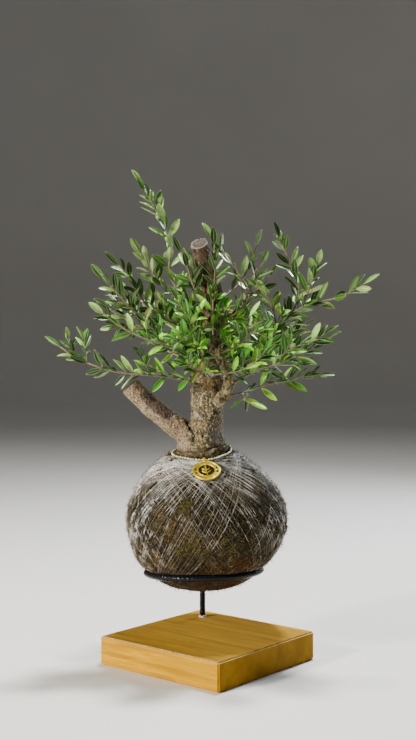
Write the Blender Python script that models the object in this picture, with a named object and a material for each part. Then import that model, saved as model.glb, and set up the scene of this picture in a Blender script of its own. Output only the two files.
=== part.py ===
# Olive tree grown in a thread-bound root ball, on a steel ring and rod in a wooden block.
# World frame: origin at the centre of the block's underside, +Z up, -Y to the front.
# Lengths in this file are millimetres until solid() scales them to metres.

import math
import random
from collections import namedtuple

import bpy
import bmesh
from mathutils import Matrix, Vector
from mathutils.bvhtree import BVHTree

MM = 0.001
GAP = 0.3

# Wooden block, turned so that one corner faces the front
BLOCK_SIDE = 150.0
BLOCK_HEIGHT = 28.0
BLOCK_CHAMFER = 1.4
BLOCK_TURN = math.radians(-39.9)

# Ribbed steel bar of the rod and the ring
BAR_RIB_RADIUS = 3.25
BAR_CORE_RADIUS = 2.85
BAR_SIDES = 6
RIB_PITCH = 4.0

# Rod, standing in a blind hole near the block's back corner, with glue round its foot
ROD_X = -5.8
ROD_Y = 71.6
ROD_FOOT_Z = 10.3
ROD_TOP_Z = 80.3
HOLE_RADIUS = 3.65
HOLE_FLOOR_Z = 10.0
GLUE_RADIUS = 6.6
GLUE_HEIGHT = 2.6

# Root ball: distance from its centre to its surface by angle from straight up, then how far
# the neck and the foot lie off to the side, how the neck slopes, and the hole for the trunk
BALL_X = -1.0
BALL_Y = 17.6
BALL_Z = 143.4
BALL_SHAPE = [
    (20.0, 68.6), (30.0, 69.0), (44.0, 69.5), (61.0, 72.4), (74.0, 75.9), (82.0, 78.2),
    (90.0, 79.5), (110.0, 79.4), (122.0, 79.1), (134.0, 78.0), (146.0, 77.2), (158.0, 75.4), (180.0, 73.2),
]
NECK_SHIFT = -5.0
FOOT_SHIFT = -4.2
NECK_TILT_FRONT = 3.2
NECK_TILT_LEFT = 1.4
NECK_HOLE_RADIUS = 27.1
NECK_HOLE_FLOOR_Z = 188.0
NECK_LIP = 1.6
LUMP_HEIGHT = 0.55
BALL_SIDES = 36
BALL_ANGLES = [29, 36, 44, 53, 62, 72, 82, 93, 104, 115, 124, 130, 134, 138, 145, 154, 165, 173]
SEAT_ROW_ANGLE = 134.0

# Ring that the ball sits in, pressed into the moss, a little low at the back and the left
RING_X = -4.2
RING_Y = 14.7
RING_Z = 87.3
RING_RADIUS = 57.0
RING_BACK_DOWN = math.radians(-3.4)
RING_LEFT_DOWN = math.radians(-1.6)
RING_STEPS = 66

# Thread, in loops: azimuth of the loop's pole, its angle from straight up, opening of the loop
THREAD_RADIUS = 0.36
THREAD_LIFT = 0.96
THREAD_LOOPS = [
    (-128.0, 75.0, 44.5), (-97.0, 73.0, 42.5), (-66.0, 75.0, 44.0), (-32.0, 76.0, 43.5), (4.0, 74.0, 42.0),
    (42.0, 75.0, 44.5), (80.0, 73.0, 43.0), (118.0, 76.0, 45.0), (156.0, 74.0, 42.5), (193.0, 75.0, 44.0),
]
THREAD_STEPS = 26

# Tree axis and the parts of the wood, as points from that axis and heights from the table
TREE_X = -6.0
TREE_Y = 16.5
TRUNK_SIDES = 12
TRUNK_ROUND_ROWS = 4
TRUNK = [
    ((0, 0, 188.4), 26.6), ((0, 0, 207), 26.6), ((0, 0, 211), 24.8), ((1, 0, 215), 25.4),
    ((2, 0, 222), 21.6), ((4, 0, 232), 17.6), ((5, 0, 243), 15.8), ((5.5, 0, 254), 15.6),
    ((5.5, 0, 264), 15.8), ((4, 0, 275), 14.6), ((4, 0, 290), 13.2), ((5, 0, 308), 12.6),
    ((8, 0, 326), 12.2), ((12, 0, 340), 12.0), ((13, 0, 353), 10.2), ((8, 0, 378), 9.6),
    ((1, 0, 402), 9.4), ((-4, 0, 417), 9.0), ((-4.6, 0, 419), 8.0),
]
STUMP = [
    ((-1, 0, 217), 14.0), ((-12, -2, 223), 13.2), ((-24, -3, 231), 11.8), ((-42, -6, 245), 10.4),
    ((-56, -8, 257), 9.6), ((-69, -10, 270), 9.4), ((-72, -10.4, 273), 8.6),
]
KNEE = [
    ((10, -4, 252), 7.5), ((20, -13, 261), 6.4), ((26, -18, 275), 5.2), ((24, -18, 289), 4.6),
    ((17, -17, 301), 4.4), ((11.6, -16, 309), 4.2),
]
SPUR = [((10, 0, 336), 7.0), ((24, 0, 342), 5.4), ((33, 2, 345), 4.4), ((38.6, 3, 348.6), 4.0)]

# Leafy stems: route, radius at the foot, and for the side stems where they leave their parent
LIMBS = [
    ("spray_front_leader", 1.7, [(11, -16, 311), (11, -18, 335), (11, -20, 357), (13, -20, 388),
                                 (12, -20, 410)], []),
    ("spray_spur", 1.9, [(40, 3, 350), (48, 3, 367), (54, 3, 380), (60, 2, 394)],
     [(0.36, [(34, 0, 389), (20, -3, 403), (10, -4, 419)])]),
    ("spray_right_long", 2.2, [(10, 0, 270), (26, 4, 282), (48, 6, 297), (62, 6, 314), (87, 5, 342),
                               (110, 0, 354), (135, -5, 360), (150, -8, 367), (159, -10, 373)],
     [(0.45, [(67, -6, 358), (53, -10, 372)]),
      (0.53, [(98, 12, 362), (94, 15, 380), (86, 16, 402), (78, 15, 422)]),
      (0.62, [(109, 4, 373), (115, 5, 393)])]),
    ("spray_right_low", 1.9, [(24, -17, 271), (43, -18, 283), (66, -22, 292), (85, -26, 298),
                              (101, -28, 307), (121, -30, 318)],
     [(0.52, [(85, -36, 309), (105, -43, 316), (117, -46, 323)])]),
    ("spray_right_lowest", 1.6, [(19, -12, 260), (47, -14, 268), (64, -16, 274), (80, -18, 277),
                                 (99, -20, 282), (114, -24, 283)],
     [(0.24, [(41, -20, 259), (48, -24, 257)])]),
    ("spray_left_long", 1.9, [(-2, -6, 274), (-20, -20, 279), (-41, -30, 283), (-66, -36, 285),
                              (-87, -38, 288), (-114, -38, 297), (-130, -36, 306), (-137, -34, 311)], []),
    ("spray_left_a", 1.7, [(1, -4, 301), (-36, -25, 313), (-60, -30, 321), (-79, -32, 331),
                           (-90, -34, 339), (-95, -35, 343)], []),
    ("spray_left_b", 1.9, [(2, 3, 308), (-32, 0, 320), (-55, -5, 332), (-67, -8, 345), (-78, -10, 358),
                           (-91, -12, 372), (-96, -13, 378)],
     [(0.42, [(-75, -2, 338), (-92, -2, 349)])]),
    ("spray_left_c", 1.9, [(3, 5, 318), (-27, 15, 333), (-54, 15, 351), (-63, 15, 366), (-71, 14, 379),
                           (-84, 12, 393)], []),
    ("spray_left_d", 1.7, [(5, 6, 328), (-22, 20, 354), (-44, 24, 376), (-55, 25, 393),
                           (-63, 25, 406)], []),
    ("spray_top_left", 1.9, [(6, 4, 333), (-17, 12, 358), (-30, 14, 378), (-33, 14, 392), (-32, 14, 405),
                             (-34, 13, 420), (-39, 12, 435), (-46, 11, 448), (-54, 10, 462),
                             (-62, 8, 475)], []),
    ("spray_top_centre", 1.6, [(7, -4, 340), (-7, -14, 367), (-15, -16, 391), (-21, -16, 404)], []),
    ("spray_front_a", 1.5, [(4, -4, 313), (-7, -35, 327), (-16, -45, 344), (-23, -48, 356)], []),
    ("spray_front_b", 1.5, [(3, -4, 298), (-2, -38, 306), (-11, -52, 318), (-22, -60, 325)], []),
    ("spray_front_c", 1.5, [(2, -4, 283), (-2, -40, 287), (-9, -58, 291), (-15, -72, 297)], []),
    ("spray_front_d", 1.6, [(6, -4, 306), (32, -40, 310), (43, -55, 321), (51, -66, 334)], []),
    ("spray_front_e", 1.6, [(4, -4, 282), (36, -44, 288), (48, -58, 295), (58, -66, 303)], []),
    ("spray_back_a", 1.7, [(3, 4, 308), (-13, 40, 323), (-32, 65, 342), (-45, 82, 361)],
     [(0.40, [(-38, 48, 345), (-56, 50, 362)])]),
    ("spray_back_b", 1.8, [(6, 4, 318), (13, 45, 334), (10, 72, 361), (3, 90, 383)],
     [(0.42, [(2, 62, 372), (-8, 60, 392)])]),
    ("spray_back_c", 1.7, [(6, 4, 320), (34, 40, 339), (52, 62, 360), (63, 78, 382)],
     [(0.40, [(56, 42, 366), (70, 40, 384)])]),
    ("spray_back_d", 1.7, [(3, 4, 286), (-13, 45, 296), (-39, 70, 308), (-61, 85, 321)], []),
    ("spray_back_e", 1.7, [(3, 4, 283), (21, 50, 296), (27, 82, 313), (32, 100, 330)], []),
    ("spray_back_f", 1.8, [(3, 4, 293), (44, 40, 298), (73, 62, 313), (95, 75, 329)],
     [(0.44, [(84, 42, 318), (103, 38, 331)])]),
    ("spray_back_g", 1.5, [(9, 4, 348), (-2, 30, 379), (-13, 42, 401)], []),
    ("spray_back_h", 1.6, [(12, 3, 352), (39, 28, 377), (51, 38, 400), (56, 42, 416)], []),
]
TWIG_TIP_RADIUS = 0.62
SIDE_STEM_RADIUS = 1.15
COLLAR_LENGTH = 4.0
COLLAR_SIDES = 6
NODE_HALF = 0.9
SIDE_STEM_NUMBERS = 100

# Leaves: opposite pairs, each pair turned a quarter against the last; angles in degrees.
# A leaf that would touch something is tried again, bent and turned a step further.
LEAF_LENGTH = 20.0
LEAF_WIDTH = 6.3
LEAF_THICK = 0.7
LEAF_SPACING = 15.5
LEAF_CLEAR = 0.34
LEAF_RINGS = [(0.36, 0.5), (0.72, 0.40)]
LEAF_BEND = 46.0
LEAF_BEND_SPREAD = 20.0
LEAF_BEND_LESS_AT_TIP = 26.0
LEAF_BEND_STEP = 7.0
LEAF_SWAY = 0.36
LEAF_SWAY_STEP = 0.10
LEAF_RISE = 0.10
LEAF_LEAN_STEP = 0.22
LEAF_TWIST = 84.0
LEAF_TWIST_STEP = 11.0
LEAF_ARCH = 0.16
LEAF_REACH = 27.0
LEAF_TRIES = 14
CROWN_MIDDLE = 22.0
SEED = 41

# Bead chain round the foot of the trunk, hung on the root ball's shoulder, and its medal
CHAIN_BEADS = 52
BEAD_RADIUS = 1.1
LINK_RADIUS = 0.55
CHAIN_PULL = 0.14
CHAIN_REACH = [(0, 28.9), (60, 28.8), (120, 28.8), (180, 29.6), (225, 32.0), (270, 35.2), (315, 31.4)]
CHAIN_LIFT = [(0, 2.6), (60, 2.8), (120, 2.0), (180, 1.8), (225, 2.4), (270, 2.9), (315, 2.6)]
MEDAL_RADIUS = 13.6
MEDAL_THICK = 1.6
MEDAL_ANGLE = 46.0
MEDAL_AZIMUTH = -86.0
BAIL_HOLE_RADIUS = 1.5
BAIL_RADIUS = 2.3
BAIL_LENGTH = 2.2
BAIL_RISE = 0.3
BAIL_OUT = 1.85
MEDAL_LIFT = 1.6

Bud = namedtuple("Bud", "corners along number side share face")


def material(name, colour, roughness, metallic=0.0):
    made = bpy.data.materials.new(name)
    made.use_nodes = True
    shader = made.node_tree.nodes["Principled BSDF"]
    shader.inputs["Base Color"].default_value = (*colour, 1.0)
    shader.inputs["Roughness"].default_value = roughness
    shader.inputs["Metallic"].default_value = metallic
    made.diffuse_color = (*colour, 1.0)
    return made


def solid(name, points, faces, paint, smooth=False):
    mesh = bpy.data.meshes.new(name)
    mesh.from_pydata([[c * MM for c in p] for p in points], [], faces)
    mesh.validate()
    mesh.update()
    mesh.materials.append(paint)
    mesh.polygons.foreach_set("use_smooth", [smooth] * len(mesh.polygons))
    made = bpy.data.objects.new(name, mesh)
    bpy.context.scene.collection.objects.link(made)
    return made


def apply_boolean(target, others, kind):
    """Cuts the others from the target, or joins them to it, and keeps only the target."""
    group = bpy.data.collections.new(target.name + "_parts")
    for other in others:
        group.objects.link(other)
    change = target.modifiers.new("shape", "BOOLEAN")
    change.operand_type = "COLLECTION"
    change.collection = group
    change.operation = kind
    change.solver = "EXACT"
    graph = bpy.context.evaluated_depsgraph_get()
    mesh = bpy.data.meshes.new_from_object(target.evaluated_get(graph))
    target.modifiers.clear()
    target.data = mesh
    for other in others:
        bpy.data.objects.remove(other)
    bpy.data.collections.remove(group)
    return target


def between(table, x, turn=None):
    """Value from a table of (x, value) pairs; turn closes the table on itself and smooths it."""
    rows = list(table)
    if turn:
        x = x % turn
        rows.append((rows[0][0] + turn, rows[0][1]))
    if x <= rows[0][0]:
        return rows[0][1]
    for (x0, a), (x1, b) in zip(rows, rows[1:]):
        if x <= x1:
            s = (x - x0) / (x1 - x0)
            if turn:
                s = s * s * (3 - 2 * s)
            return a + (b - a) * s
    return rows[-1][1]


def step(x, low, high):
    """Rises smoothly from 0 at low to 1 at high."""
    s = min(1.0, max(0.0, (x - low) / (high - low)))
    return s * s * (3 - 2 * s)


def ring_turn():
    return Matrix.Rotation(RING_BACK_DOWN, 3, "X") @ Matrix.Rotation(RING_LEFT_DOWN, 3, "Y")


def ring_room(point):
    """How far a point of the moss lies inside the room that the ring's bar needs."""
    q = ring_turn().transposed() @ (point - Vector((RING_X, RING_Y, RING_Z)))
    need = BAR_RIB_RADIUS + 4 * GAP
    return need - math.hypot(math.hypot(q.x, q.y) - RING_RADIUS, q.z)


def ball_point(azimuth, angle, lift=0.0):
    """Point on the root ball's skin, azimuth and angle from straight up in degrees."""
    a = math.radians(azimuth)
    p = math.radians(angle)
    lumps = math.sin(3 * a + 0.6) * math.sin(2.4 * p) + 0.7 * math.sin(5 * a + 3 * p)
    lumps *= LUMP_HEIGHT * step(angle, 34, 60) * (1 - step(angle, 100, 122))
    far = between(BALL_SHAPE, angle) + lumps
    if angle > 105:
        for press in range(12):
            far -= max(0.0, ring_room(ball_skin(a, p, far)))
    return ball_skin(a, p, far + lift)


def seat_angle(azimuth):
    """Angle from straight up at which the ring lies, seen from the middle of the ball."""
    t = math.radians(azimuth)
    out = ring_turn() @ Vector((math.cos(t), math.sin(t), 0))
    at = Vector((RING_X - BALL_X - FOOT_SHIFT, RING_Y - BALL_Y, RING_Z - BALL_Z)) + out * RING_RADIUS
    return math.degrees(math.atan2(math.hypot(at.x, at.y), at.z))


def ball_skin(a, p, far):
    """Point at a distance from the ball's middle, with the neck and the foot shifted."""
    x = far * math.sin(p) * math.cos(a)
    y = far * math.sin(p) * math.sin(a)
    z = far * math.cos(p)
    x += NECK_SHIFT * step(z, 20, 62) + FOOT_SHIFT * (1 - step(z, -58, -14))
    z += step(z, 34, 62) * (NECK_TILT_FRONT * math.sin(a) + NECK_TILT_LEFT * math.cos(a))
    return Vector((BALL_X + x, BALL_Y + y, BALL_Z + z))


def rings_to_faces(count, sides, closed):
    """Quads between rings of points; closed joins the last ring to the first."""
    faces = []
    for i in range(count if closed else count - 1):
        a = i * sides
        b = (i + 1) % count * sides
        for k in range(sides):
            m = (k + 1) % sides
            faces.append((a + k, a + m, b + m, b + k))
    return faces


def frames_along(points, first=None):
    """Directions and side vectors carried along a route without twisting."""
    steps = [(b - a).normalized() for a, b in zip(points, points[1:])]
    along = [steps[0]]
    along += [(a + b).normalized() for a, b in zip(steps, steps[1:])]
    along.append(steps[-1])
    side = first if first is not None else Vector((0.13, -1.0, 0.07))
    frames = []
    for d in along:
        side = (side - d * side.dot(d)).normalized()
        frames.append((d, side, d.cross(side)))
    return frames


def tube(points, radii, sides, wobble=0.0, phase=0.0):
    """Points and faces of a closed tube with flat ends."""
    points = [Vector(p) for p in points]
    ring_points = []
    for i, (p, r, (d, u, w)) in enumerate(zip(points, radii, frames_along(points))):
        for k in range(sides):
            t = 2 * math.pi * k / sides
            swell = 1 + wobble * (math.sin(2 * t + phase + 0.35 * i) + 0.7 * math.sin(3 * t - 0.5 * i))
            ring_points.append(p + (u * math.cos(t) + w * math.sin(t)) * r * swell)
    faces = rings_to_faces(len(points), sides, False)
    faces.append(tuple(range(sides - 1, -1, -1)))
    last = (len(points) - 1) * sides
    faces.append(tuple(range(last, last + sides)))
    return ring_points, faces


def loop_tube(points, outs, radii, sides, phase=0.0):
    """Points and faces of a tube closed on itself; outs gives each section's outward side."""
    count = len(points)
    ring_points = []
    for i in range(count):
        d = (points[(i + 1) % count] - points[i - 1]).normalized()
        u = (outs[i] - d * outs[i].dot(d)).normalized()
        w = d.cross(u)
        for k in range(sides):
            t = 2 * math.pi * k / sides + phase
            ring_points.append(points[i] + (u * math.cos(t) + w * math.sin(t)) * radii[i % len(radii)])
    return ring_points, rings_to_faces(count, sides, True)


def lathe(profile, steps, close):
    """Solid of revolution about Z from (radius, z) pairs; close joins the last pair to the first."""
    points = []
    rows = []
    for r, z in profile:
        if r == 0.0:
            rows.append([len(points)] * steps)
            points.append((0.0, 0.0, z))
        else:
            rows.append(list(range(len(points), len(points) + steps)))
            for k in range(steps):
                t = 2 * math.pi * k / steps
                points.append((r * math.cos(t), r * math.sin(t), z))
    pairs = list(zip(rows, rows[1:]))
    if close:
        pairs.append((rows[-1], rows[0]))
    faces = []
    for low, high in pairs:
        for k in range(steps):
            m = (k + 1) % steps
            face = [low[k], low[m], high[m], high[k]]
            face = [v for i, v in enumerate(face) if v != face[i - 1]]
            if len(face) > 2:
                faces.append(tuple(face))
    return points, faces


def triangles(faces):
    """Faces cut into triangles, quads along their first diagonal."""
    cut = []
    for f in faces:
        for k in range(1, len(f) - 1):
            cut.append((f[0], f[k], f[k + 1]))
    return cut


def moved(points, matrix):
    return [matrix @ Vector(p) for p in points]


def smooth_route(points, spacing):
    """Route through the given points as a soft curve, with even steps."""
    points = [Vector(p) for p in points]
    ends = [points[0] * 2 - points[1]] + points + [points[-1] * 2 - points[-2]]
    fine = []
    for i in range(1, len(ends) - 2):
        a, b, c, d = ends[i - 1:i + 3]
        for s in range(8):
            t = s / 8
            fine.append(0.5 * ((2 * b) + (c - a) * t + (2 * a - 5 * b + 4 * c - d) * t * t
                               + (3 * b - a - 3 * c + d) * t * t * t))
    fine.append(points[-1])
    lengths = [0.0]
    for a, b in zip(fine, fine[1:]):
        lengths.append(lengths[-1] + (b - a).length)
    count = max(2, round(lengths[-1] / spacing))
    route = []
    j = 0
    for i in range(count + 1):
        want = lengths[-1] * i / count
        while j < len(fine) - 2 and lengths[j + 1] < want:
            j += 1
        s = (want - lengths[j]) / max(1e-9, lengths[j + 1] - lengths[j])
        route.append(fine[j].lerp(fine[j + 1], min(1.0, s)))
    return route


def build_block(paint):
    block = bmesh.new()
    bmesh.ops.create_cube(block, size=1.0)
    turn = Matrix.Rotation(BLOCK_TURN, 4, "Z")
    grow = Matrix.Diagonal((BLOCK_SIDE * MM, BLOCK_SIDE * MM, BLOCK_HEIGHT * MM, 1.0))
    lift = Matrix.Translation((0, 0, BLOCK_HEIGHT * MM / 2))
    bmesh.ops.transform(block, matrix=turn @ lift @ grow, verts=block.verts)
    bmesh.ops.bevel(block, geom=block.edges[:], offset=BLOCK_CHAMFER * MM, segments=2, affect="EDGES")
    mesh = bpy.data.meshes.new("block")
    block.to_mesh(mesh)
    block.free()
    mesh.materials.append(paint)
    made = bpy.data.objects.new("block", mesh)
    bpy.context.scene.collection.objects.link(made)
    points, faces = lathe([(0.0, HOLE_FLOOR_Z), (HOLE_RADIUS, HOLE_FLOOR_Z),
                           (HOLE_RADIUS, BLOCK_HEIGHT + 5), (0.0, BLOCK_HEIGHT + 5)], 20, False)
    cutter = solid("hole", moved(points, Matrix.Translation((ROD_X, ROD_Y, 0))), faces, paint)
    apply_boolean(made, [cutter], "DIFFERENCE")


def build_rod(paint):
    count = round((ROD_TOP_Z - ROD_FOOT_Z) / (RIB_PITCH / 2))
    points = []
    radii = []
    for i in range(count + 1):
        points.append((ROD_X, ROD_Y, ROD_FOOT_Z + (ROD_TOP_Z - ROD_FOOT_Z) * i / count))
        radii.append(BAR_RIB_RADIUS if i % 2 else BAR_CORE_RADIUS)
    solid("rod", *tube(points, radii, BAR_SIDES), paint, True)


def build_glue(paint):
    top = BLOCK_HEIGHT + GAP
    inner = HOLE_RADIUS
    profile = [(inner, top), (GLUE_RADIUS, top), (GLUE_RADIUS - 0.6, top + 0.7),
               (inner + 1.2, top + 1.4), (inner + 0.4, top + GLUE_HEIGHT), (inner, top + GLUE_HEIGHT)]
    points, faces = lathe(profile, 14, True)
    solid("glue_fillet", moved(points, Matrix.Translation((ROD_X, ROD_Y, 0))), faces, paint, True)


def build_ring(paint):
    turn = ring_turn()
    points = []
    outs = []
    for i in range(RING_STEPS):
        t = 2 * math.pi * i / RING_STEPS
        out = Vector((math.cos(t), math.sin(t), 0))
        points.append(Vector((RING_X, RING_Y, RING_Z)) + turn @ (out * RING_RADIUS))
        outs.append(turn @ out)
    solid("ring", *loop_tube(points, outs, [BAR_RIB_RADIUS, BAR_CORE_RADIUS], BAR_SIDES), paint, True)


def build_ball(paint):
    """Root ball with its hole for the trunk; one row of its skin follows the tilted ring."""
    steps = BALL_SIDES
    points = []
    for i in range(steps):
        t = 2 * math.pi * i / steps
        points.append(Vector((TREE_X + NECK_HOLE_RADIUS * math.cos(t),
                              TREE_Y + NECK_HOLE_RADIUS * math.sin(t), NECK_HOLE_FLOOR_Z)))
    for i in range(steps):
        lip = ball_point(360.0 * i / steps, BALL_ANGLES[0])
        points.append(Vector((points[i].x, points[i].y, lip.z + NECK_LIP)))
    for angle in BALL_ANGLES:
        for i in range(steps):
            turn = 360.0 * i / steps
            shift = seat_angle(turn) - SEAT_ROW_ANGLE
            shift *= step(angle, 112, 128) * (1 - step(angle, 142, 168))
            points.append(ball_point(turn, angle + shift))
    rows = len(BALL_ANGLES) + 2
    faces = [tuple(reversed(f)) for f in rings_to_faces(rows, steps, False)]
    faces.append(tuple(range(steps)))
    pole = len(points)
    points.append(ball_point(0, 180.0))
    last = (rows - 1) * steps
    for k in range(steps):
        faces.append((last + (k + 1) % steps, last + k, pole))
    return solid("root_ball", points, faces, paint, True)


def build_thread(paint):
    loops = []
    for n, (azimuth, tilt, opening) in enumerate(THREAD_LOOPS):
        a = math.radians(azimuth)
        p = math.radians(tilt)
        pole = Vector((math.sin(p) * math.cos(a), math.sin(p) * math.sin(a), math.cos(p)))
        u = pole.cross(Vector((0, 0, 1))).normalized()
        w = pole.cross(u)
        o = math.radians(opening)
        points = []
        outs = []
        for i in range(THREAD_STEPS):
            t = 2 * math.pi * (i + 0.37 * n) / THREAD_STEPS
            d = pole * math.cos(o) + (u * math.cos(t) + w * math.sin(t)) * math.sin(o)
            at = ball_point(math.degrees(math.atan2(d.y, d.x)), math.degrees(math.acos(d.z)), THREAD_LIFT)
            points.append(at)
            outs.append(d)
        shape = loop_tube(points, outs, [THREAD_RADIUS], 3, math.pi)
        loops.append(solid("thread_wrap", *shape, paint, True))
    apply_boolean(loops[0], loops[1:], "UNION")


def tree_point(spot):
    return Vector(spot) + Vector((TREE_X, TREE_Y, 0))


def wood_tube(name, rows, sides, wobble, phase, paint):
    points = [tree_point(p) for p, r in rows]
    return solid(name, *tube(points, [r for p, r in rows], sides, wobble, phase), paint, True)


def build_trunk(paint):
    """Trunk with its cut stump, knee limb and spur, and a short collar for each leafy stem."""
    trunk = wood_tube("trunk", TRUNK, TRUNK_SIDES, 0.0, 0.0, paint)
    for i in range(TRUNK_ROUND_ROWS * TRUNK_SIDES, len(trunk.data.vertices)):
        v = trunk.data.vertices[i]
        row = i // TRUNK_SIDES
        t = 2 * math.pi * (i % TRUNK_SIDES) / TRUNK_SIDES
        axis = tree_point(TRUNK[row][0])
        swell = 1 + 0.05 * math.sin(2 * t + 0.5 * row) + 0.04 * math.sin(3 * t - 0.8 * row)
        v.co = (axis + (v.co / MM - axis) * swell) * MM
    others = [
        wood_tube("stump", STUMP, 10, 0.03, 0.4, paint),
        wood_tube("knee", KNEE, 8, 0.03, 1.3, paint),
        wood_tube("spur", SPUR, 8, 0.03, 2.1, paint),
    ]
    wood = [BVHTree.FromObject(o, bpy.context.evaluated_depsgraph_get()) for o in [trunk] + others]
    collars = {}
    for name, radius, route, side_stems in LIMBS:
        a = tree_point(route[0]) * MM
        away = (tree_point(route[1]) * MM - a).normalized()
        reach = 0.0
        for tree in wood:
            hit = tree.ray_cast(a + away * 0.06, -away, 0.06)[0]
            if hit is not None:
                reach = max(reach, (hit - a).length)
        end = a / MM + away * (reach / MM + COLLAR_LENGTH)
        foot = a / MM + away * max(0.0, reach / MM - 5.0)
        shape = tube([foot, end], [radius + 1.9, radius + 0.2], COLLAR_SIDES)
        others.append(solid("collar", *shape, paint, True))
        collars[name] = (end + away * GAP, away)
    return apply_boolean(trunk, others, "UNION"), collars


class Spray:
    """Points, faces and buds of one leafy stem while it grows; a bud is a face for a leaf."""

    def __init__(self, name):
        self.name = name
        self.points = []
        self.faces = []
        self.buds = []

    def face(self, corners):
        self.faces.append(tuple(corners))

    def stem(self, route, radius, start, offset):
        """Adds a square stem along a route; start holds four corners of the parent, or nothing."""
        if start is None:
            first = None
        else:
            first = self.points[start[1]] - self.points[start[0]]
        frames = frames_along(route, first)
        total = len(route) - 1
        lower = start
        ring = start
        for i, (p, (d, u, w)) in enumerate(zip(route, frames)):
            if start is not None and i == 0:
                continue
            r = radius + (TWIG_TIP_RADIUS - radius) * i / total
            bud = 0 < i < total
            for shift in ([-NODE_HALF, NODE_HALF] if bud else [0.0]):
                at = p + d * shift
                ring = []
                for k, (x, y) in enumerate([(-1, -1), (1, -1), (1, 1), (-1, 1)]):
                    ring.append(len(self.points))
                    self.points.append(at + (u * x + w * y) * r * 0.8)
                if lower is None:
                    self.face(reversed(ring))
                else:
                    for k in range(4):
                        m = (k + 1) % 4
                        quad = (lower[k], lower[m], ring[m], ring[k])
                        if shift > 0:
                            self.buds.append(Bud(quad, d, i + offset, k, i / total, len(self.faces)))
                        self.face(quad)
                lower = ring
        self.buds.append(Bud(tuple(ring), frames[-1][0], total + offset, -1, 1.0, len(self.faces)))
        self.face(ring)


def best_bud(spray, share, aim_point):
    """The main stem's bud nearest to a share of its length that looks to a point best."""
    best = None
    for bud in spray.buds:
        if bud.side < 0 or bud.number >= SIDE_STEM_NUMBERS:
            continue
        corners = [spray.points[v] for v in bud.corners]
        centre = sum(corners, Vector()) / 4
        out = (corners[1] - corners[0]).cross(corners[3] - corners[0]).normalized()
        cost = abs(bud.share - share) * 6 - out.dot((aim_point - centre).normalized())
        if best is None or cost < best[0]:
            best = (cost, bud, centre, out)
    return best[1:]


def grow_stems(collars):
    """The twigs of every leafy stem, side stems grown out of their parent's faces."""
    sprays = []
    for name, radius, route, side_stems in LIMBS:
        start, away = collars[name]
        main_stem = smooth_route([start, start + away * 4.0] + [tree_point(p) for p in route[1:]],
                                 LEAF_SPACING)
        spray = Spray(name)
        spray.stem(main_stem, radius, None, 0)
        for order, (share, side_route) in enumerate(side_stems, 1):
            side_points = [tree_point(p) for p in side_route]
            bud, centre, out = best_bud(spray, share, side_points[0])
            spray.buds.remove(bud)
            spray.faces[bud.face] = None
            knee = centre + out * 2.2 + (side_points[0] - centre).normalized() * 2.2
            path = smooth_route([centre, knee] + side_points, LEAF_SPACING)
            path.insert(1, centre + out * 2.0)
            spray.stem(path, SIDE_STEM_RADIUS, bud.corners, SIDE_STEM_NUMBERS * order)
        sprays.append(spray)
    return sprays


def leaf_shape(base, out, up, length, width, twist, arch, grow=0.0):
    """Corners of a leaf: four near its root, four near its end, and its tip."""
    side = up.cross(out)
    if side.length < 1e-6:
        side = out.orthogonal()
    side.normalize()
    face = out.cross(side).normalized()
    turn = Matrix.Rotation(twist, 3, out)
    side = turn @ side
    face = turn @ face
    thick = LEAF_THICK / 2 + grow
    rings = []
    for share, wide in LEAF_RINGS:
        at = base + out * length * share + face * arch * share * share * length
        half = width * wide + grow
        rings.append([at - side * half - face * thick, at + side * half - face * thick,
                      at + side * half + face * thick, at - side * half + face * thick])
    tip = base + out * (length + grow) + face * arch * length
    return rings, tip


LEAF_SIDES = [(0, 1, 5), (0, 5, 4), (1, 2, 6), (1, 6, 5), (2, 3, 6), (3, 7, 6), (3, 0, 7), (0, 4, 7),
              (4, 5, 8), (5, 6, 8), (6, 7, 8), (7, 4, 8)]


def untwisted(rings, corners):
    """The leaf's rings, turned a quarter at a time to meet the corners of its root best."""
    middle = sum(rings[0], Vector()) / 4
    root = sum(corners, Vector()) / 4
    best = None
    for k in range(4):
        turned = [rings[0][(i + k) % 4] for i in range(4)]
        match = sum((t - middle).normalized().dot((c - root).normalized()) for t, c in zip(turned, corners))
        if best is None or match > best[0]:
            best = (match, k)
    k = best[1]
    return [[ring[(i + k) % 4] for i in range(4)] for ring in rings]


def leaf_facing(spot, out):
    """Side of a leaf that looks to the light: upwards, and away from the middle of the crown."""
    away = -1.0 if spot.y < TREE_Y + CROWN_MIDDLE else 1.0
    return Vector((0.0, 0.75 * away, 0.62)) + 0.15 * out


def leaf_tree(rings, tip, base):
    """Search tree of a leaf, from a little above its root to its tip."""
    corners = rings[0] + rings[1] + [tip]
    low = [base.lerp(c, 0.45) for c in rings[0]]
    faces = list(LEAF_SIDES)
    faces += [(9 + k, 9 + (k + 1) % 4, (k + 1) % 4) for k in range(4)]
    faces += [(9 + k, (k + 1) % 4, k) for k in range(4)]
    return BVHTree.FromPolygons(corners + low, faces)


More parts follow.
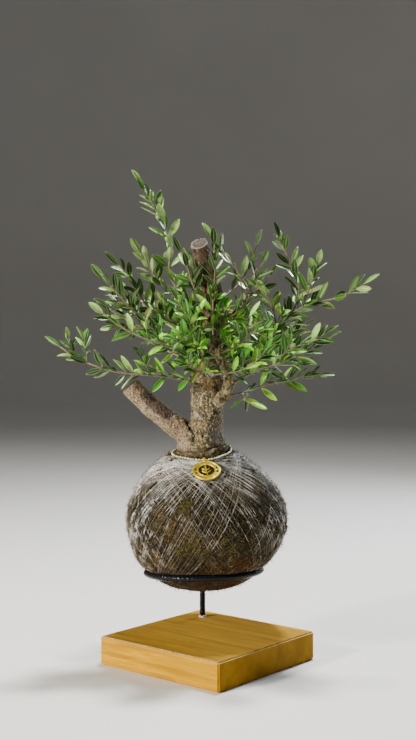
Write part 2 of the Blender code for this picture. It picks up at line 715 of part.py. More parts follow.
def leaf_aim(bud, corners, rolls, attempt):
    """Direction, twist and length of a leaf; each attempt turns it a step further away."""
    normal = (corners[1] - corners[0]).cross(corners[3] - corners[0]).normalized()
    shift = (attempt + 1) // 2 * (1 if attempt % 2 else -1)
    if bud.side < 0:
        out = normal + (corners[1] - corners[0]).normalized() * LEAF_LEAN_STEP * shift
    else:
        bend = LEAF_BEND + LEAF_BEND_SPREAD * rolls[1] - LEAF_BEND_LESS_AT_TIP * bud.share * bud.share
        bend = math.radians(bend) + math.radians(LEAF_BEND_STEP * shift)
        out = normal * math.sin(bend) + bud.along * math.cos(bend)
        sway = normal.cross(bud.along) * (LEAF_SWAY * (rolls[2] - 0.5) + LEAF_SWAY_STEP * shift)
        out = out + sway + Vector((0, 0, LEAF_RISE))
    size = 0.86 + 0.28 * rolls[0]
    if bud.share > 0.8:
        size *= 0.88
    length = LEAF_LENGTH * size * (1.0 - 0.02 * attempt)
    twist = math.radians((rolls[4] - 0.5) * LEAF_TWIST + LEAF_TWIST_STEP * shift)
    return out.normalized(), twist, length


def place_leaf(bud, corners, rolls, fixed, leaves):
    """The first attempt at a leaf that is clear of the fixed trees and the leaves near it."""
    centre = sum(corners, Vector()) / 4
    width = LEAF_WIDTH * (0.9 + 0.22 * rolls[3])
    arch = LEAF_ARCH * (rolls[5] - 0.62)
    for attempt in range(LEAF_TRIES):
        out, twist, length = leaf_aim(bud, corners, rolls, attempt)
        up = leaf_facing(centre, out)
        rings, tip = leaf_shape(centre, out, up, length, width, twist, arch, LEAF_CLEAR)
        trial = leaf_tree(rings, tip, centre)
        spot = centre + out * length * 0.5
        if any(trial.overlap(tree) for tree in fixed):
            continue
        if any((other - spot).length < LEAF_REACH and trial.overlap(tree) for other, tree in leaves):
            continue
        leaves.append((spot, trial))
        return leaf_shape(centre, out, up, length, width, twist, arch)
    return None


def grow_leaves(sprays, fixed):
    """Leaf pairs at every node, each leaf bent until it is clear of all that is already there."""
    draw = random.Random(SEED)
    fixed = list(fixed)
    for spray in sprays:
        faces = [f for f in spray.faces if f is not None]
        fixed.append(BVHTree.FromPolygons(spray.points, triangles(faces)))
    leaves = []
    for spray in sprays:
        for bud in spray.buds:
            rolls = [draw.random() for roll in range(6)]
            if bud.side >= 0 and (bud.number + bud.side) % 2:
                continue
            corners = [spray.points[v] for v in bud.corners]
            placed = place_leaf(bud, corners, rolls, fixed, leaves)
            if placed is None:
                continue
            rings, tip = placed
            rings = untwisted(rings, corners)
            first = len(spray.points)
            spray.points += rings[0] + rings[1] + [tip]
            spray.faces[bud.face] = None
            spray.faces += [tuple(first + v for v in f) for f in LEAF_SIDES]
            for k in range(4):
                m = (k + 1) % 4
                spray.face((bud.corners[k], bud.corners[m], first + m))
                spray.face((bud.corners[k], first + m, first + k))


def build_chain(paint, bail):
    """Beads and links round the trunk's foot, pulled forward to run through the medal's bail."""
    count = CHAIN_BEADS * 2
    points = []
    outs = []
    for i in range(count):
        turn = 360.0 * i / count
        t = math.radians(turn)
        reach = between(CHAIN_REACH, turn, 360.0)
        x = TREE_X + reach * math.cos(t)
        y = TREE_Y + reach * math.sin(t)
        z = skin_height(x, y) + between(CHAIN_LIFT, turn, 360.0)
        points.append(Vector((x, y, z)))
        outs.append(Vector((math.cos(t), math.sin(t), 0)))
    front = count * 0.75
    pull = bail - points[round(front)]
    for i in range(count):
        near = 1 - step(abs(i - front), 0, count * CHAIN_PULL)
        points[i] = points[i] + pull * near
    shape = loop_tube(points, outs, [BEAD_RADIUS, LINK_RADIUS], 4, math.pi / 4)
    solid("bead_chain", *shape, paint, True)


def skin_height(x, y):
    """Height of the root ball's upper skin under a point."""
    azimuth = math.degrees(math.atan2(y - BALL_Y, x - BALL_X))
    skin = [ball_point(azimuth, 18.0 + i * 0.2) for i in range(240)]
    return min(skin, key=lambda at: math.hypot(at.x - x, at.y - y)).z


def medal_place():
    """Centre, up-slope and outward directions of the medal, flat on the ball's front shoulder."""
    at = ball_point(MEDAL_AZIMUTH, MEDAL_ANGLE)
    high = ball_point(MEDAL_AZIMUTH, MEDAL_ANGLE - 8)
    up = (high - ball_point(MEDAL_AZIMUTH, MEDAL_ANGLE + 8)).normalized()
    side = Vector((1, 0, 0))
    side = (side - up * side.dot(up)).normalized()
    out = side.cross(up)
    return at + out * (MEDAL_LIFT + THREAD_LIFT + THREAD_RADIUS + GAP), side, up, out


def build_medal(paint):
    """Medal with raised rims and its bail; returns the middle of the bail."""
    centre, side, up, out = medal_place()
    place = Matrix((
        (side.x, up.x, out.x, centre.x),
        (side.y, up.y, out.y, centre.y),
        (side.z, up.z, out.z, centre.z),
        (0, 0, 0, 1),
    ))
    half = MEDAL_THICK / 2
    profile = [(0.0, -half), (MEDAL_RADIUS - 0.4, -half), (MEDAL_RADIUS, -half + 0.4),
               (MEDAL_RADIUS, half - 0.2), (MEDAL_RADIUS - 0.5, half), (MEDAL_RADIUS - 1.6, half),
               (MEDAL_RADIUS - 2.0, half - 0.45), (8.6, half - 0.45), (8.2, half), (7.2, half),
               (6.8, half - 0.45), (0.0, half - 0.45)]
    points, faces = lathe(profile, 24, False)
    medal = solid("medal", moved(points, place), faces, paint, False)
    ring = [(BAIL_HOLE_RADIUS, -BAIL_LENGTH / 2), (BAIL_RADIUS, -BAIL_LENGTH / 2),
            (BAIL_RADIUS, BAIL_LENGTH / 2), (BAIL_HOLE_RADIUS, BAIL_LENGTH / 2)]
    points, faces = lathe(ring, 14, True)
    spot = Vector((0, MEDAL_RADIUS + BAIL_OUT, BAIL_RISE))
    lay = Matrix.Translation(spot) @ Matrix.Rotation(math.pi / 2, 4, "Y")
    bail = solid("bail", moved(points, place @ lay), faces, paint, True)
    apply_boolean(medal, [bail], "UNION")
    return place @ spot


def search_tree(made):
    made.data.calc_loop_triangles()
    corners = [v.co / MM for v in made.data.vertices]
    return BVHTree.FromPolygons(corners, [tuple(t.vertices) for t in made.data.loop_triangles])


def main():
    for old in list(bpy.data.objects):
        bpy.data.objects.remove(old)
    build_block(material("block_wood", (0.62, 0.42, 0.16), 0.5))
    steel = material("black_steel", (0.02, 0.02, 0.022), 0.25, 0.6)
    build_rod(steel)
    build_ring(steel)
    build_glue(material("dried_glue", (0.72, 0.70, 0.64), 0.6))
    ball = build_ball(material("moss_and_soil", (0.10, 0.075, 0.03), 0.95))
    build_thread(material("grey_thread", (0.50, 0.46, 0.38), 0.9))
    trunk, collars = build_trunk(material("olive_bark", (0.33, 0.26, 0.17), 0.85))
    bail = build_medal(material("medal_gold", (0.72, 0.50, 0.12), 0.3, 1.0))
    build_chain(material("chain_metal", (0.72, 0.68, 0.52), 0.3, 1.0), bail)
    leaf = material("olive_leaf", (0.13, 0.25, 0.05), 0.5)
    sprays = grow_stems(collars)
    grow_leaves(sprays, [search_tree(trunk), search_tree(ball)])
    for spray in sprays:
        faces = [f for f in spray.faces if f is not None]
        solid(spray.name, spray.points, faces, leaf, False)


main()
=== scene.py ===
import itertools
import math
import random
from collections import namedtuple

import bpy
from mathutils import Matrix, Vector, noise
from mathutils.bvhtree import BVHTree


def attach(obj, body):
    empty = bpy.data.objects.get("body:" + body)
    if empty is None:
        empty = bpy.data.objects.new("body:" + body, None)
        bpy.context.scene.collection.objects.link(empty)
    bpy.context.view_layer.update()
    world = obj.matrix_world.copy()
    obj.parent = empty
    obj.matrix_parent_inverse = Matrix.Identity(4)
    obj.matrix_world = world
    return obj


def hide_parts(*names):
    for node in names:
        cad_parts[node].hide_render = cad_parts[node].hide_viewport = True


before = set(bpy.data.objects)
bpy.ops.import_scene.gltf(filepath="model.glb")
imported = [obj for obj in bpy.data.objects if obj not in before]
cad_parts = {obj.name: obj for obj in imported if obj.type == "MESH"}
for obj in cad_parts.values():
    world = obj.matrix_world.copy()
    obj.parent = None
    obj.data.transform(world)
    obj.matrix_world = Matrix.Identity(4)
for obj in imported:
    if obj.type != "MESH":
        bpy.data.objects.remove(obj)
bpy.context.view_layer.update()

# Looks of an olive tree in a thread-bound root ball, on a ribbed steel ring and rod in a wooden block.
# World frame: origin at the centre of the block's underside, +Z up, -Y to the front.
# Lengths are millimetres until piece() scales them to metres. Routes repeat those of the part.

MM = 0.001
GAP = 0.3
BODY = "root"

# Corners of a square, in order round it
SQUARE = [(-1, -1), (1, -1), (1, 1), (-1, 1)]

# Camera at the photograph's angle, in metres and degrees
CAMERA_SPOT = (0.0, -1.134, 0.310)
CAMERA_DOWN = 1.09
CAMERA_LENS = 56.09
CAMERA_SENSOR = 36.0

# Soft lights that look at the middle of the object, in metres: name, place, size, power and colour
LIGHT_AIM = (0.0, 0.0, 0.24)
LIGHTS = [
    ("key", (-1.32, -0.90, 0.74), 0.24, 57.0, (1.0, 0.93, 0.80)),
    ("back", (0.92, 1.05, 0.78), 0.50, 17.0, (0.82, 0.91, 1.0)),
    ("top", (0.14, 0.28, 1.62), 0.16, 60.0, (1.0, 0.99, 0.97)),
]
SKY_COLOUR = (0.86, 0.88, 0.92, 1.0)
SKY_STRENGTH = 0.07

# Block, ribbed bar, weld and glue
BLOCK_TURN = math.radians(-39.9)
BLOCK_HALF = 75.0
BLOCK_HEIGHT = 28.0
BAR_RIB_RADIUS = 3.25
BAR_CORE_RADIUS = 2.85
RIB_PITCH = 4.0
ROD_X = -5.8
ROD_Y = 71.6
ROD_FOOT_Z = 10.3
ROD_TOP_Z = 80.3
HOLE_RADIUS = 3.65
ROD_IN_WELD = 1.4
ROD_STEPS = 240
ROD_SIDES = 24
WELD_SIZE = (5.0, 4.3, 2.5)
WELD_ROWS = 18
WELD_SIDES = 40
GLUE_REACH = 4.5
GLUE_STEPS = 96
GLUE_PROFILE = [
    (HOLE_RADIUS - 0.5, 0.0), (GLUE_REACH, 0.0), (GLUE_REACH - 0.2, 0.3), (GLUE_REACH - 0.6, 0.6),
    (HOLE_RADIUS + 0.4, 1.0), (HOLE_RADIUS, 1.7), (HOLE_RADIUS - 0.5, 1.8),
]

# Root ball: its middle, and its radius at each angle from straight up
BALL_X = -1.0
BALL_Y = 17.6
BALL_Z = 143.4
BALL_SHAPE = [
    (20.0, 68.6), (30.0, 69.0), (44.0, 69.5), (61.0, 72.4), (74.0, 75.9), (82.0, 78.2),
    (90.0, 79.5), (110.0, 79.4), (122.0, 79.1), (134.0, 78.0), (146.0, 77.2), (158.0, 75.4),
    (180.0, 73.2),
]
NECK_SHIFT = -5.0
FOOT_SHIFT = -4.2
NECK_TILT_FRONT = 3.2
NECK_TILT_LEFT = 1.4
LUMP_HEIGHT = 0.55

# Ring
RING_X = -4.2
RING_Y = 14.7
RING_Z = 87.3
RING_RADIUS = 57.0
RING_BACK_DOWN = math.radians(-3.4)
RING_LEFT_DOWN = math.radians(-1.6)
RING_STEPS = 720
RING_SIDES = 18

# Moss and thread on the ball
MOSS_COLUMNS = 300
MOSS_ROWS = 150
MOSS_BROAD = 1.6
MOSS_FINE = 1.5
MOSS_TOP_ANGLE = 22.0
MOSS_LOW_ANGLE = 179.4
NECK_DEPTH = 6.0
TUFT_HEIGHT = 0.6
FUZZ_COUNT = 16000
FUZZ_SEED = 7
FUZZ_SUNK = 0.3
THREAD_RADIUS = 0.165
THREAD_STEPS = 84
THREAD_NEAREST = 27.0

# Faces of a fibre: two rings of three points and a tip
FIBRE_FACES = [(0, 2, 1), (0, 1, 4, 3), (3, 4, 6), (1, 2, 5, 4), (4, 5, 6), (2, 0, 3, 5), (5, 3, 6)]

# Fans of thread: side that they pass the trunk on, how near, opening, turns, degrees between them
# round the trunk and away from it, and how pale they are
THREAD_FANS = [
    (-126.0, 42.0, 88.0, 9, 2.2, 1.4, 0.65), (-140.0, 33.0, 86.0, 10, 2.6, 0.8, 0.70),
    (172.0, 35.0, 89.0, 8, 4.0, 0.5, 0.80), (-8.0, 27.0, 89.0, 10, 2.3, 0.4, 0.70),
    (-62.0, 29.0, 88.0, 18, 0.5, 0.75, 0.80), (-50.0, 28.0, 88.0, 10, 1.6, 0.9, 0.75),
    (-34.0, 28.0, 86.0, 9, 2.0, 0.9, 0.80), (-106.0, 28.0, 88.0, 15, 1.5, 0.5, 0.90),
    (-148.0, 27.0, 88.0, 8, 3.0, 0.4, 0.70), (-22.0, 30.0, 88.0, 6, 1.8, 0.7, 0.65),
    (36.0, 30.0, 87.0, 7, 3.6, 0.7, 0.70), (78.0, 28.0, 88.0, 8, 3.2, 0.9, 0.80),
    (120.0, 32.0, 87.0, 7, 3.8, 0.6, 0.60), (-120.0, 29.0, 88.0, 9, 1.8, 0.6, 0.95),
    (-164.0, 30.0, 88.0, 9, 2.4, 0.6, 0.90),
]

# Tufts of moss that have grown over the thread: azimuth, angle from straight up, radius in degrees,
# how green and how rust-brown; the rust-brown, low on the ball, is partly painted warm bounce light
TUFTS = [
    # Of the first row, the second tuft, dark and low on the front, is painted shade that hides the thread
    # there.
    (-106.0, 76.0, 10.0, 0.8, 0.0), (-64.0, 102.0, 17.0, 0.05, 0.0), (-56.0, 131.0, 25.0, 0.0, 1.0),
    (-114.0, 101.0, 5.0, 0.0, 0.3), (-32.0, 98.0, 9.0, 0.5, 0.0), (-50.0, 86.0, 9.0, 0.3, 0.0),
    (40.0, 84.0, 12.0, 0.7, 0.0), (96.0, 108.0, 14.0, 0.2, 0.5), (150.0, 86.0, 10.0, 0.6, 0.0),
    (20.0, 124.0, 15.0, 0.0, 0.9),
]

# Tree axis, and limbs of the wood as points and radii
TREE_X = -6.0
TREE_Y = 16.5
TRUNK = [
    ((0, 0, 188.4), 26.6), ((0, 0, 207), 26.6), ((0, 0, 211), 24.8), ((1, 0, 215), 25.4),
    ((2, 0, 222), 21.6), ((4, 0, 232), 17.6), ((5, 0, 243), 15.8), ((5.5, 0, 254), 15.6),
    ((5.5, 0, 264), 15.8), ((4, 0, 275), 14.6), ((4, 0, 290), 13.2), ((5, 0, 308), 12.6),
    ((8, 0, 326), 12.2), ((12, 0, 340), 12.0), ((13, 0, 353), 10.2), ((8, 0, 378), 9.6),
    ((1, 0, 402), 9.4), ((-4, 0, 417), 9.0), ((-4.6, 0, 419), 8.0),
]
STUMP = [
    ((-1, 0, 217), 14.0), ((-12, -2, 223), 13.2), ((-24, -3, 231), 11.8), ((-42, -6, 245), 10.4),
    ((-56, -8, 257), 9.6), ((-69, -10, 270), 9.4), ((-72, -10.4, 273), 8.6),
]
KNEE = [
    ((10, -4, 252), 7.5), ((20, -13, 261), 6.4), ((26, -18, 275), 5.2), ((24, -18, 289), 4.6),
    ((17, -17, 301), 4.4), ((11.6, -16, 309), 4.2),
]
SPUR = [((10, 0, 336), 7.0), ((24, 0, 342), 5.4), ((33, 2, 345), 4.4), ((38.6, 3, 348.6), 4.0)]
LIMB_PARTS = 5
BARK_VOXEL = 0.8

# The saw cut across the trunk's top, leaning to the front and to the left
TOP_CUT = Vector((-0.28, -0.52, 0.80)).normalized()
TOP_CUT_SPOT = Vector((-4.6, 8.0, 419.0))
TOP_CUT_LOWEST = 396

# Old branch scars on the trunk: sideways from its axis, height, radius, and -1 in front or 1 behind
KNOTS = [
    (-9.0, 221.0, 4.4, -1.0), (1.0, 224.0, 2.6, -1.0), (14.0, 247.0, 3.2, -1.0), (-2.0, 300.0, 3.4, -1.0),
    (4.0, 262.0, 3.8, 1.0), (-3.0, 236.0, 4.6, 1.0), (3.0, 372.0, 2.8, -1.0),
]
KNOT_DEPTH = 1.7

# Groove on the front where the stump leaves the trunk, and depth of the fold round the trunk's foot
GROOVE = (Vector((-18.0, 0.0, 243.0)), Vector((-7.5, 0.0, 223.0)))
CREASE_DEPTH = 2.2

# Height and place aside of the middle of the hollow below the saw cut, which is painted dark as shade, and
# the stump's upper side
HOLLOW_LINE = [(353.0, 13.0), (378.0, 8.0), (402.0, 1.0), (417.0, -4.0)]
STUMP_UPPER = Vector((0.34, -0.88, 0.28))

# Leafy stems: route, radius at the foot, and for the side stems where they leave their parent
LIMBS = [
    ("spray_front_leader", 1.7, [(11, -16, 311), (11, -18, 335), (11, -20, 357), (13, -20, 388),
                                 (12, -20, 410)], []),
    ("spray_spur", 1.9, [(40, 3, 350), (48, 3, 367), (54, 3, 380), (60, 2, 394)],
     [(0.36, [(34, 0, 389), (20, -3, 403), (10, -4, 419)])]),
    ("spray_right_long", 2.2, [(10, 0, 270), (26, 4, 282), (48, 6, 297), (62, 6, 314), (87, 5, 342),
                               (110, 0, 354), (135, -5, 360), (150, -8, 367), (159, -10, 373)],
     [(0.45, [(67, -6, 358), (53, -10, 372)]),
      (0.53, [(98, 12, 362), (94, 15, 380), (86, 16, 402), (78, 15, 422)]),
      (0.62, [(109, 4, 373), (115, 5, 393)])]),
    ("spray_right_low", 1.9, [(24, -17, 271), (43, -18, 283), (66, -22, 292), (85, -26, 298),
                              (101, -28, 307), (121, -30, 318)],
     [(0.52, [(85, -36, 309), (105, -43, 316), (117, -46, 323)])]),
    ("spray_right_lowest", 1.6, [(19, -12, 260), (47, -14, 268), (64, -16, 274), (80, -18, 277),
                                 (99, -20, 282), (114, -24, 283)],
     [(0.24, [(41, -20, 259), (48, -24, 257)])]),
    ("spray_left_long", 1.9, [(-2, -6, 274), (-20, -20, 279), (-41, -30, 283), (-66, -36, 285),
                              (-87, -38, 288), (-114, -38, 297), (-130, -36, 306), (-137, -34, 311)], []),
    ("spray_left_a", 1.7, [(1, -4, 301), (-36, -25, 313), (-60, -30, 321), (-79, -32, 331),
                           (-90, -34, 339), (-95, -35, 343)], []),
    ("spray_left_b", 1.9, [(2, 3, 308), (-32, 0, 320), (-55, -5, 332), (-67, -8, 345), (-78, -10, 358),
                           (-91, -12, 372), (-96, -13, 378)],
     [(0.42, [(-75, -2, 338), (-92, -2, 349)])]),
    ("spray_left_c", 1.9, [(3, 5, 318), (-27, 15, 333), (-54, 15, 351), (-63, 15, 366), (-71, 14, 379),
                           (-84, 12, 393)], []),
    ("spray_left_d", 1.7, [(5, 6, 328), (-22, 20, 354), (-44, 24, 376), (-55, 25, 393),
                           (-63, 25, 406)], []),
    ("spray_top_left", 1.9, [(6, 4, 333), (-17, 12, 358), (-30, 14, 378), (-33, 14, 392), (-32, 14, 405),
                             (-34, 13, 420), (-39, 12, 435), (-46, 11, 448), (-54, 10, 462),
                             (-62, 8, 475)], []),
    ("spray_top_centre", 1.6, [(7, -4, 340), (-7, -14, 367), (-15, -16, 391), (-21, -16, 404)], []),
    ("spray_front_a", 1.5, [(4, -4, 313), (-7, -35, 327), (-16, -45, 344), (-23, -48, 356)], []),
    ("spray_front_b", 1.5, [(3, -4, 298), (-2, -38, 306), (-11, -52, 318), (-22, -60, 325)], []),
    ("spray_front_c", 1.5, [(2, -4, 283), (-2, -40, 287), (-9, -58, 291), (-15, -72, 297)], []),
    ("spray_front_d", 1.6, [(6, -4, 306), (32, -40, 310), (43, -55, 321), (51, -66, 334)], []),
    ("spray_front_e", 1.6, [(4, -4, 282), (36, -44, 288), (48, -58, 295), (58, -66, 303)], []),
    ("spray_back_a", 1.7, [(3, 4, 308), (-13, 40, 323), (-32, 65, 342), (-45, 82, 361)],
     [(0.40, [(-38, 48, 345), (-56, 50, 362)])]),
    ("spray_back_b", 1.8, [(6, 4, 318), (13, 45, 334), (10, 72, 361), (3, 90, 383)],
     [(0.42, [(2, 62, 372), (-8, 60, 392)])]),
    ("spray_back_c", 1.7, [(6, 4, 320), (34, 40, 339), (52, 62, 360), (63, 78, 382)],
     [(0.40, [(56, 42, 366), (70, 40, 384)])]),
    ("spray_back_d", 1.7, [(3, 4, 286), (-13, 45, 296), (-39, 70, 308), (-61, 85, 321)], []),
    ("spray_back_e", 1.7, [(3, 4, 283), (21, 50, 296), (27, 82, 313), (32, 100, 330)], []),
    ("spray_back_f", 1.8, [(3, 4, 293), (44, 40, 298), (73, 62, 313), (95, 75, 329)],
     [(0.44, [(84, 42, 318), (103, 38, 331)])]),
    ("spray_back_g", 1.5, [(9, 4, 348), (-2, 30, 379), (-13, 42, 401)], []),
    ("spray_back_h", 1.6, [(12, 3, 352), (39, 28, 377), (51, 38, 400), (56, 42, 416)], []),
]
TWIG_TIP_RADIUS = 0.62
SIDE_STEM_RADIUS = 1.15
NODE_HALF = 0.9

# Buds of a stem's first side stem are numbered from here on, of its second from twice as much
SIDE_STEM_NUMBERS = 100

# Leaves of the part's own rule
LEAF_LENGTH = 20.0
LEAF_WIDTH = 6.3
LEAF_THICK = 0.7
LEAF_SPACING = 15.5
LEAF_CLEAR = 0.34
LEAF_ROOT = 0.45

# Where a leaf's two rings of four points lie and how wide they are, as shares; its end is a ninth point
LEAF_RINGS = [(0.36, 0.5), (0.72, 0.40)]
LEAF_SIDES = [(0, 1, 5), (0, 5, 4), (1, 2, 6), (1, 6, 5), (2, 3, 6), (3, 7, 6), (3, 0, 7), (0, 4, 7),
              (4, 5, 8), (5, 6, 8), (6, 7, 8), (7, 4, 8)]
LEAF_SIDES += [(9 + k, 9 + (k + 1) % 4, (k + 1) % 4) for k in range(4)]
LEAF_SIDES += [(9 + k, (k + 1) % 4, k) for k in range(4)]

# Angles of the leaves in degrees, and steps by which an attempt differs from the one before
LEAF_BEND = 46.0
LEAF_BEND_SPREAD = 20.0
LEAF_BEND_LESS_AT_TIP = 26.0
LEAF_BEND_STEP = 7.0
LEAF_SWAY = 0.36
LEAF_SWAY_STEP = 0.10
LEAF_RISE = 0.10
LEAF_LEAN_STEP = 0.22
LEAF_TWIST = 84.0
LEAF_TWIST_STEP = 11.0
LEAF_ARCH = 0.16

LEAF_REACH = 27.0
LEAF_TRIES = 14
CROWN_MIDDLE = 22.0
SEED = 41

# Chain and medal
CHAIN_BEADS = 60
BEAD_RADIUS = 1.08
LINK_RADIUS = 0.30
CHAIN_STEPS = 104
CHAIN_PULL = 0.14
CHAIN_REACH = [(0, 28.9), (60, 28.8), (120, 28.8), (180, 29.6), (225, 32.0), (270, 35.2), (315, 31.4)]
CHAIN_LIFT = [(0, 2.6), (60, 2.8), (120, 2.0), (180, 1.8), (225, 2.4), (270, 2.9), (315, 2.6)]
MEDAL_RADIUS = 13.6
MEDAL_THICK = 1.6
MEDAL_ANGLE = 46.0
MEDAL_AZIMUTH = -86.0
MEDAL_ROWS = 84
MEDAL_STEPS = 240
BAIL_HOLE_RADIUS = 1.5
BAIL_RADIUS = 2.3
BAIL_LENGTH = 2.2
BAIL_RISE = 0.3
BAIL_OUT = 1.85
BAIL_PROFILE = [
    (BAIL_HOLE_RADIUS, -0.8), (BAIL_HOLE_RADIUS + 0.2, -BAIL_LENGTH / 2),
    (BAIL_RADIUS - 0.2, -BAIL_LENGTH / 2), (BAIL_RADIUS, -0.8), (BAIL_RADIUS, 0.8),
    (BAIL_RADIUS - 0.2, BAIL_LENGTH / 2), (BAIL_HOLE_RADIUS + 0.2, BAIL_LENGTH / 2),
    (BAIL_HOLE_RADIUS, 0.8),
]
MEDAL_LIFT = 1.6
CAD_THREAD_TOP = 1.32

# Twigs and leaves as they look close up; the first three are shares of the part's own radii
STEMS = 0.80
THIN_STEMS = 0.62
SIDE_TWIGS = 0.9
TWIG_STEP = 3.0
TWIG_SIDES = 8
TRUNK_SHOOTS = 70
PAIR_CHANCE = 0.75
PAIR_SIZE = 0.92
LEAF_STATIONS = 9
LEAF_ACROSS = (-1.0, -0.55, -0.12, 0.12, 0.55, 1.0)
SHOOT_SEED = 97
SHOOT_STEP = 8.0
SHOOT_RADIUS = 0.62
SHOOT_TIP_RADIUS = 0.4
SHOOT_LEAF = 15.5
SHOOT_TRIES = 7
SHOOT_CHANCE_IN = 1.0
SHOOT_CHANCE_OUT = 0.16
SHOOT_HEIGHTS = (286, 346)
FRONT_SIDE = (-165, -15)

# Oval about the crown, from the tree's foot: its middle and its half sizes
SHOOT_OVAL = ((4, -10, 318), (108.0, 95.0, 78.0))

# Leafy stems with paler, broader leaves
PALE_STEMS = {"top_left": 0.55, "right_long": 0.2, "spur": 0.2, "left_a": 0.15, "left_d": 0.2,
              "back_h": 0.3}

# Rooms by the tree, from corner to corner, that further growth leaves open: before the knee-shaped limb
# and, with the sky behind, between the trunk's top and the right-hand stems
FAR = 1000.0
OPEN_ROOMS = [((4.0, -FAR, 252.0), (36.0, -4.0, 314.0)), ((22.0, -FAR, 348.0), (62.0, FAR, 396.0))]

# Rooms without short shoots: before the trunk's top, to its left, and low on the right
BARE_ROOMS = [((-24.0, -FAR, 342.0), (34.0, 12.0, FAR)), ((-FAR, -FAR, 372.0), (-18.0, FAR, FAR)),
              ((20.0, -FAR, -FAR), (FAR, FAR, 268.0))]

# Small dry twigs above the spur
DRY_TWIGS = [
    [(38, 2, 348), (45, -2, 356), (49, -4, 368), (50, -5, 380), (55, -6, 389)],
    [(36, 1, 347), (40, -4, 357), (40, -6, 368), (37, -7, 377), (32, -8, 383)],
    [(49, -4, 368), (46, -6, 374), (42, -7, 379), (36, -8, 382)],
]
DRY_RADIUS = 1.1
DRY_TIP_RADIUS = 0.5

# Floor, flat under the object and rising to a wall far away all round
FLOOR_PROFILE = [
    (0.0, 0.0), (3600.0, 0.0), (4400.0, 70.0), (5100.0, 330.0), (5600.0, 800.0), (5900.0, 1500.0),
    (6000.0, 2400.0), (6000.0, 4500.0),
]

Bud = namedtuple("Bud", "corners along number side share face")
Leaf = namedtuple("Leaf", "base out up length width twist arch")


class Form:
    """Points, faces, marks and the paint of each face of a piece while it is made."""

    def __init__(self, points=(), faces=()):
        self.points = list(points)
        self.faces = list(faces)
        self.marks = []
        self.paint_of = []

    def take(self, points, faces, marks=()):
        """Adds a shape whose faces count from its own first point."""
        first = len(self.points)
        self.points += points
        self.faces += [tuple(first + v for v in f) for f in faces]
        self.marks += marks


class Paint:
    """A node material, put together by short calls."""

    def __init__(self, name):
        self.material = bpy.data.materials.new(name)
        self.material.use_nodes = True
        self.tree = self.material.node_tree
        self.shader = self.tree.nodes["Principled BSDF"]
        self.place = self.add("TexCoord").outputs["Object"]

    def add(self, kind, inputs=None, **settings):
        node = self.tree.nodes.new("ShaderNode" + kind)
        for key, value in settings.items():
            setattr(node, key, value)
        for key, value in (inputs or {}).items():
            self.put(node.inputs[key], value)
        return node

    def put(self, socket, value):
        if isinstance(value, bpy.types.NodeSocket):
            self.tree.links.new(value, socket)
        else:
            socket.default_value = value

    def set(self, **values):
        """Values of the surface, with _ for the blanks in their names."""
        for key, value in values.items():
            self.put(self.shader.inputs[key.replace("_", " ")], value)

    def noise(self, size, detail=4.0, rough=0.55, warp=0.0, vector=None):
        """Noise with features of a size in millimetres."""
        return self.add("TexNoise", {"Vector": vector or self.place, "Scale": 1.0 / (size * MM),
                                     "Detail": detail, "Roughness": rough,
                                     "Distortion": warp}).outputs["Fac"]

    def axis(self, name, vector=None):
        """X, Y or Z of the place in the piece, in metres."""
        return self.add("SeparateXYZ", {"Vector": vector or self.place}).outputs[name]

    def stretched(self, scale, turn=(0.0, 0.0, 0.0), vector=None):
        return self.add("Mapping", {"Vector": vector or self.place, "Rotation": turn,
                                    "Scale": scale}).outputs["Vector"]

    def ramp(self, value, stops):
        """Colour by stops; each stop is a share from 0 to 1 and its three colour values."""
        ramp = self.add("ValToRGB", {"Fac": value})
        spots = ramp.color_ramp.elements
        while len(spots) < len(stops):
            spots.new(0.5)
        for spot, (at, *colour) in zip(spots, stops):
            spot.position = at
            spot.color = (*colour, 1.0)
        return ramp.outputs["Color"]

    def mix(self, share, a, b):
        """A share of colour b over colour a."""
        node = self.add("Mix", data_type="RGBA")
        sockets = [s for s in node.inputs if s.enabled]
        for socket, value in zip(sockets, (share, a, b)):
            if isinstance(value, tuple):
                value = (*value, 1.0)
            self.put(socket, value)
        return [s for s in node.outputs if s.enabled][0]

    def math(self, way, a, b=0.0):
        node = self.add("Math", operation=way)
        self.put(node.inputs[0], a)
        self.put(node.inputs[1], b)
        return node.outputs["Value"]

    def times(self, a, b):
        return self.math("MULTIPLY", a, b)

    def plus(self, a, b):
        return self.math("ADD", a, b)

    def spread(self, value, low, high, to_low=0.0, to_high=1.0):
        """Runs smoothly from to_low to to_high while the value goes from low to high."""
        return self.add("MapRange", {"Value": value, "From Min": low, "From Max": high,
                                     "To Min": to_low, "To Max": to_high},
                        interpolation_type="SMOOTHSTEP").outputs["Result"]

    def mark(self):
        """The four numbers that a piece's points carry."""
        node = self.add("Attribute", attribute_name="mark")
        parts = self.add("SeparateColor", {"Color": node.outputs["Color"]})
        return parts.outputs["Red"], parts.outputs["Green"], parts.outputs["Blue"], node.outputs["Alpha"]

    def bump(self, height, strength, distance, before=None):
        """Small relief; distance is in millimetres."""
        node = self.add("Bump", {"Height": height, "Strength": strength, "Distance": distance * MM})
        if before is not None:
            self.put(node.inputs["Normal"], before)
        return node.outputs["Normal"]


def one_mark(value):
    """Marks of a point that carries a single number."""
    return value, 0.0, 0.0, 1.0


def piece(name, form, paints, replaces=()):
    """A finished piece, from a form in millimetres."""
    mesh = bpy.data.meshes.new(name)
    mesh.from_pydata([(p[0] * MM, p[1] * MM, p[2] * MM) for p in form.points], [], form.faces)
    dressed(name, mesh, paints, replaces, form.marks, form.paint_of)


